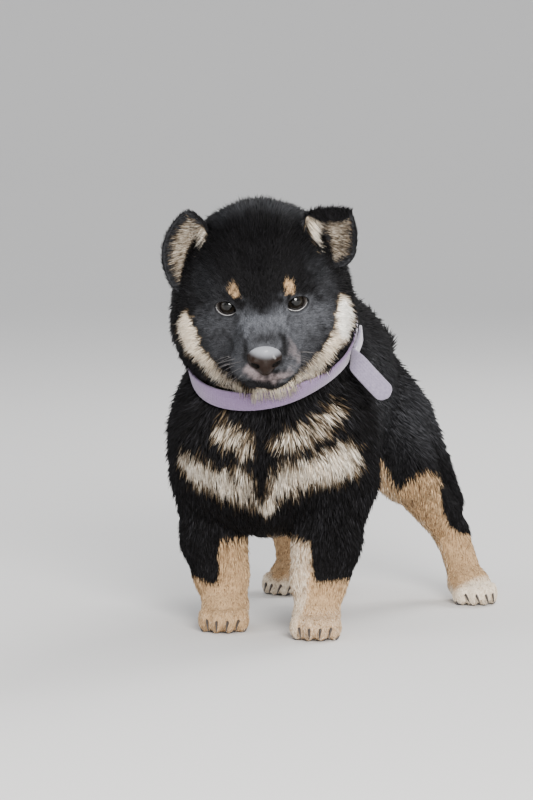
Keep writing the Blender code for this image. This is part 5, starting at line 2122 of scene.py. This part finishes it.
def make_studio():
    """The floor, soft lights and a pale sky."""
    floor = studio_floor()
    floor.data.shade_smooth()
    floor.data.materials.append(studio_finish())
    world = bpy.data.worlds.new("studio")
    SCENE.world = world
    world.use_nodes = True
    tree = world.node_tree
    feed(tree, tree.nodes["Background"], {"Color": SKY, "Strength": 1.0})
    for name, values in LIGHTS.items():
        soft_light(name, *values)


# Everything together

# The solids that the one skin stands for
FLESH = ["head", "neck", "chest", "belly", "rump", "tail"] + [
    part + "_" + name for name in SIDES for part in ("foreleg", "forepaw", "thigh", "shank", "hindpaw")
]

# The tufts: how far each bends down at its tip, and the pieces that have the short ones
SHORT_BENDS = (0.02, 0.05, 0.08)
LONG_BENDS = (0.04, 0.10, 0.16, 0.24)
SHORT_COATED = ("fur_face", "fur_brow")
FIRST_SEED = 3
SEED_STEP = 7


def make_coat(skin, fur, hide):
    """The coat on the skin and the ears, and the skin of the ears."""
    tree = tuft_tree()
    short = tuft_set("short_tufts", 1, SHORT_BENDS)
    long = tuft_set("long_tufts", 2, LONG_BENDS)
    seed = FIRST_SEED
    for name, (emitter, density) in emitters(skin).items():
        tufts = short if name in SHORT_COATED else long
        clumps = CLUMPS.get(name, USUAL_CLUMPS)
        grown(name, emitter, tree, tufts, fur, seed, density, STRAY, clumps)
        seed += SEED_STEP
    for name in SIDES:
        ear = make_ear(name)
        ear_comb(ear.data, name)
        emitter = new_object("fur_ear_" + name, ear.data.copy())
        unwrapped(emitter)
        grown(emitter.name, emitter, tree, long, fur, seed, *EAR_TUFTS)
        seed += SEED_STEP
        ear.data.materials.append(hide)
        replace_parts(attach(ear, "root"), "ear_" + name)
    for collection in (short, long):
        for obj in list(collection.objects):
            bpy.data.objects.remove(obj)
        bpy.data.collections.remove(collection)


def make_eyes():
    eye, rim = eye_finish(), rim_finish()
    for name in SIDES:
        make_eye(name, eye)
        make_lid_rim(name, rim)


# The finishes of the horn, the pads and the band: their darker and lighter colours
CLAW_HORN = ((0.02, 0.016, 0.014), (0.07, 0.055, 0.045))
PAD_LEATHER = ((0.02, 0.017, 0.018), (0.06, 0.05, 0.052))
WHISKER_HORN = ((0.05, 0.045, 0.045), (0.15, 0.14, 0.14))
PURPLE_CLOTH = ((0.105, 0.062, 0.14), (0.22, 0.15, 0.27))
# The strap's free end: the band's own purple webbing, painted lighter for the light that falls on it
LIT_PURPLE_CLOTH = ((0.13, 0.108, 0.17), (0.28, 0.245, 0.33))


def main():
    make_camera()
    make_studio()
    group = colour_group()
    fur = coat_finish("puppy_fur", group, skin=False)
    hide = coat_finish("puppy_skin", group, skin=True)
    skin = make_skin()
    skin_marks(skin.data)
    skin_comb(skin.data)
    skin.data.materials.append(hide)
    make_coat(skin, fur, hide)
    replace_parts(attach(skin, "root"), *FLESH)
    make_eyes()
    make_nose(nose_finish())
    make_claws(leather_finish("claw_horn", *CLAW_HORN, scale=600.0, rough=0.35, coat=0.3))
    make_pads(leather_finish("paw_pads", *PAD_LEATHER, scale=900.0, rough=0.6))
    whiskers(leather_finish("whisker_horn", *WHISKER_HORN, scale=500.0, rough=0.4))
    make_neckband(cloth_finish("purple_webbing", *PURPLE_CLOTH))
    # The strap's end in the band's webbing painted lighter: painted light
    make_strap_end(cloth_finish("lilac_webbing", *LIT_PURPLE_CLOTH))


main()
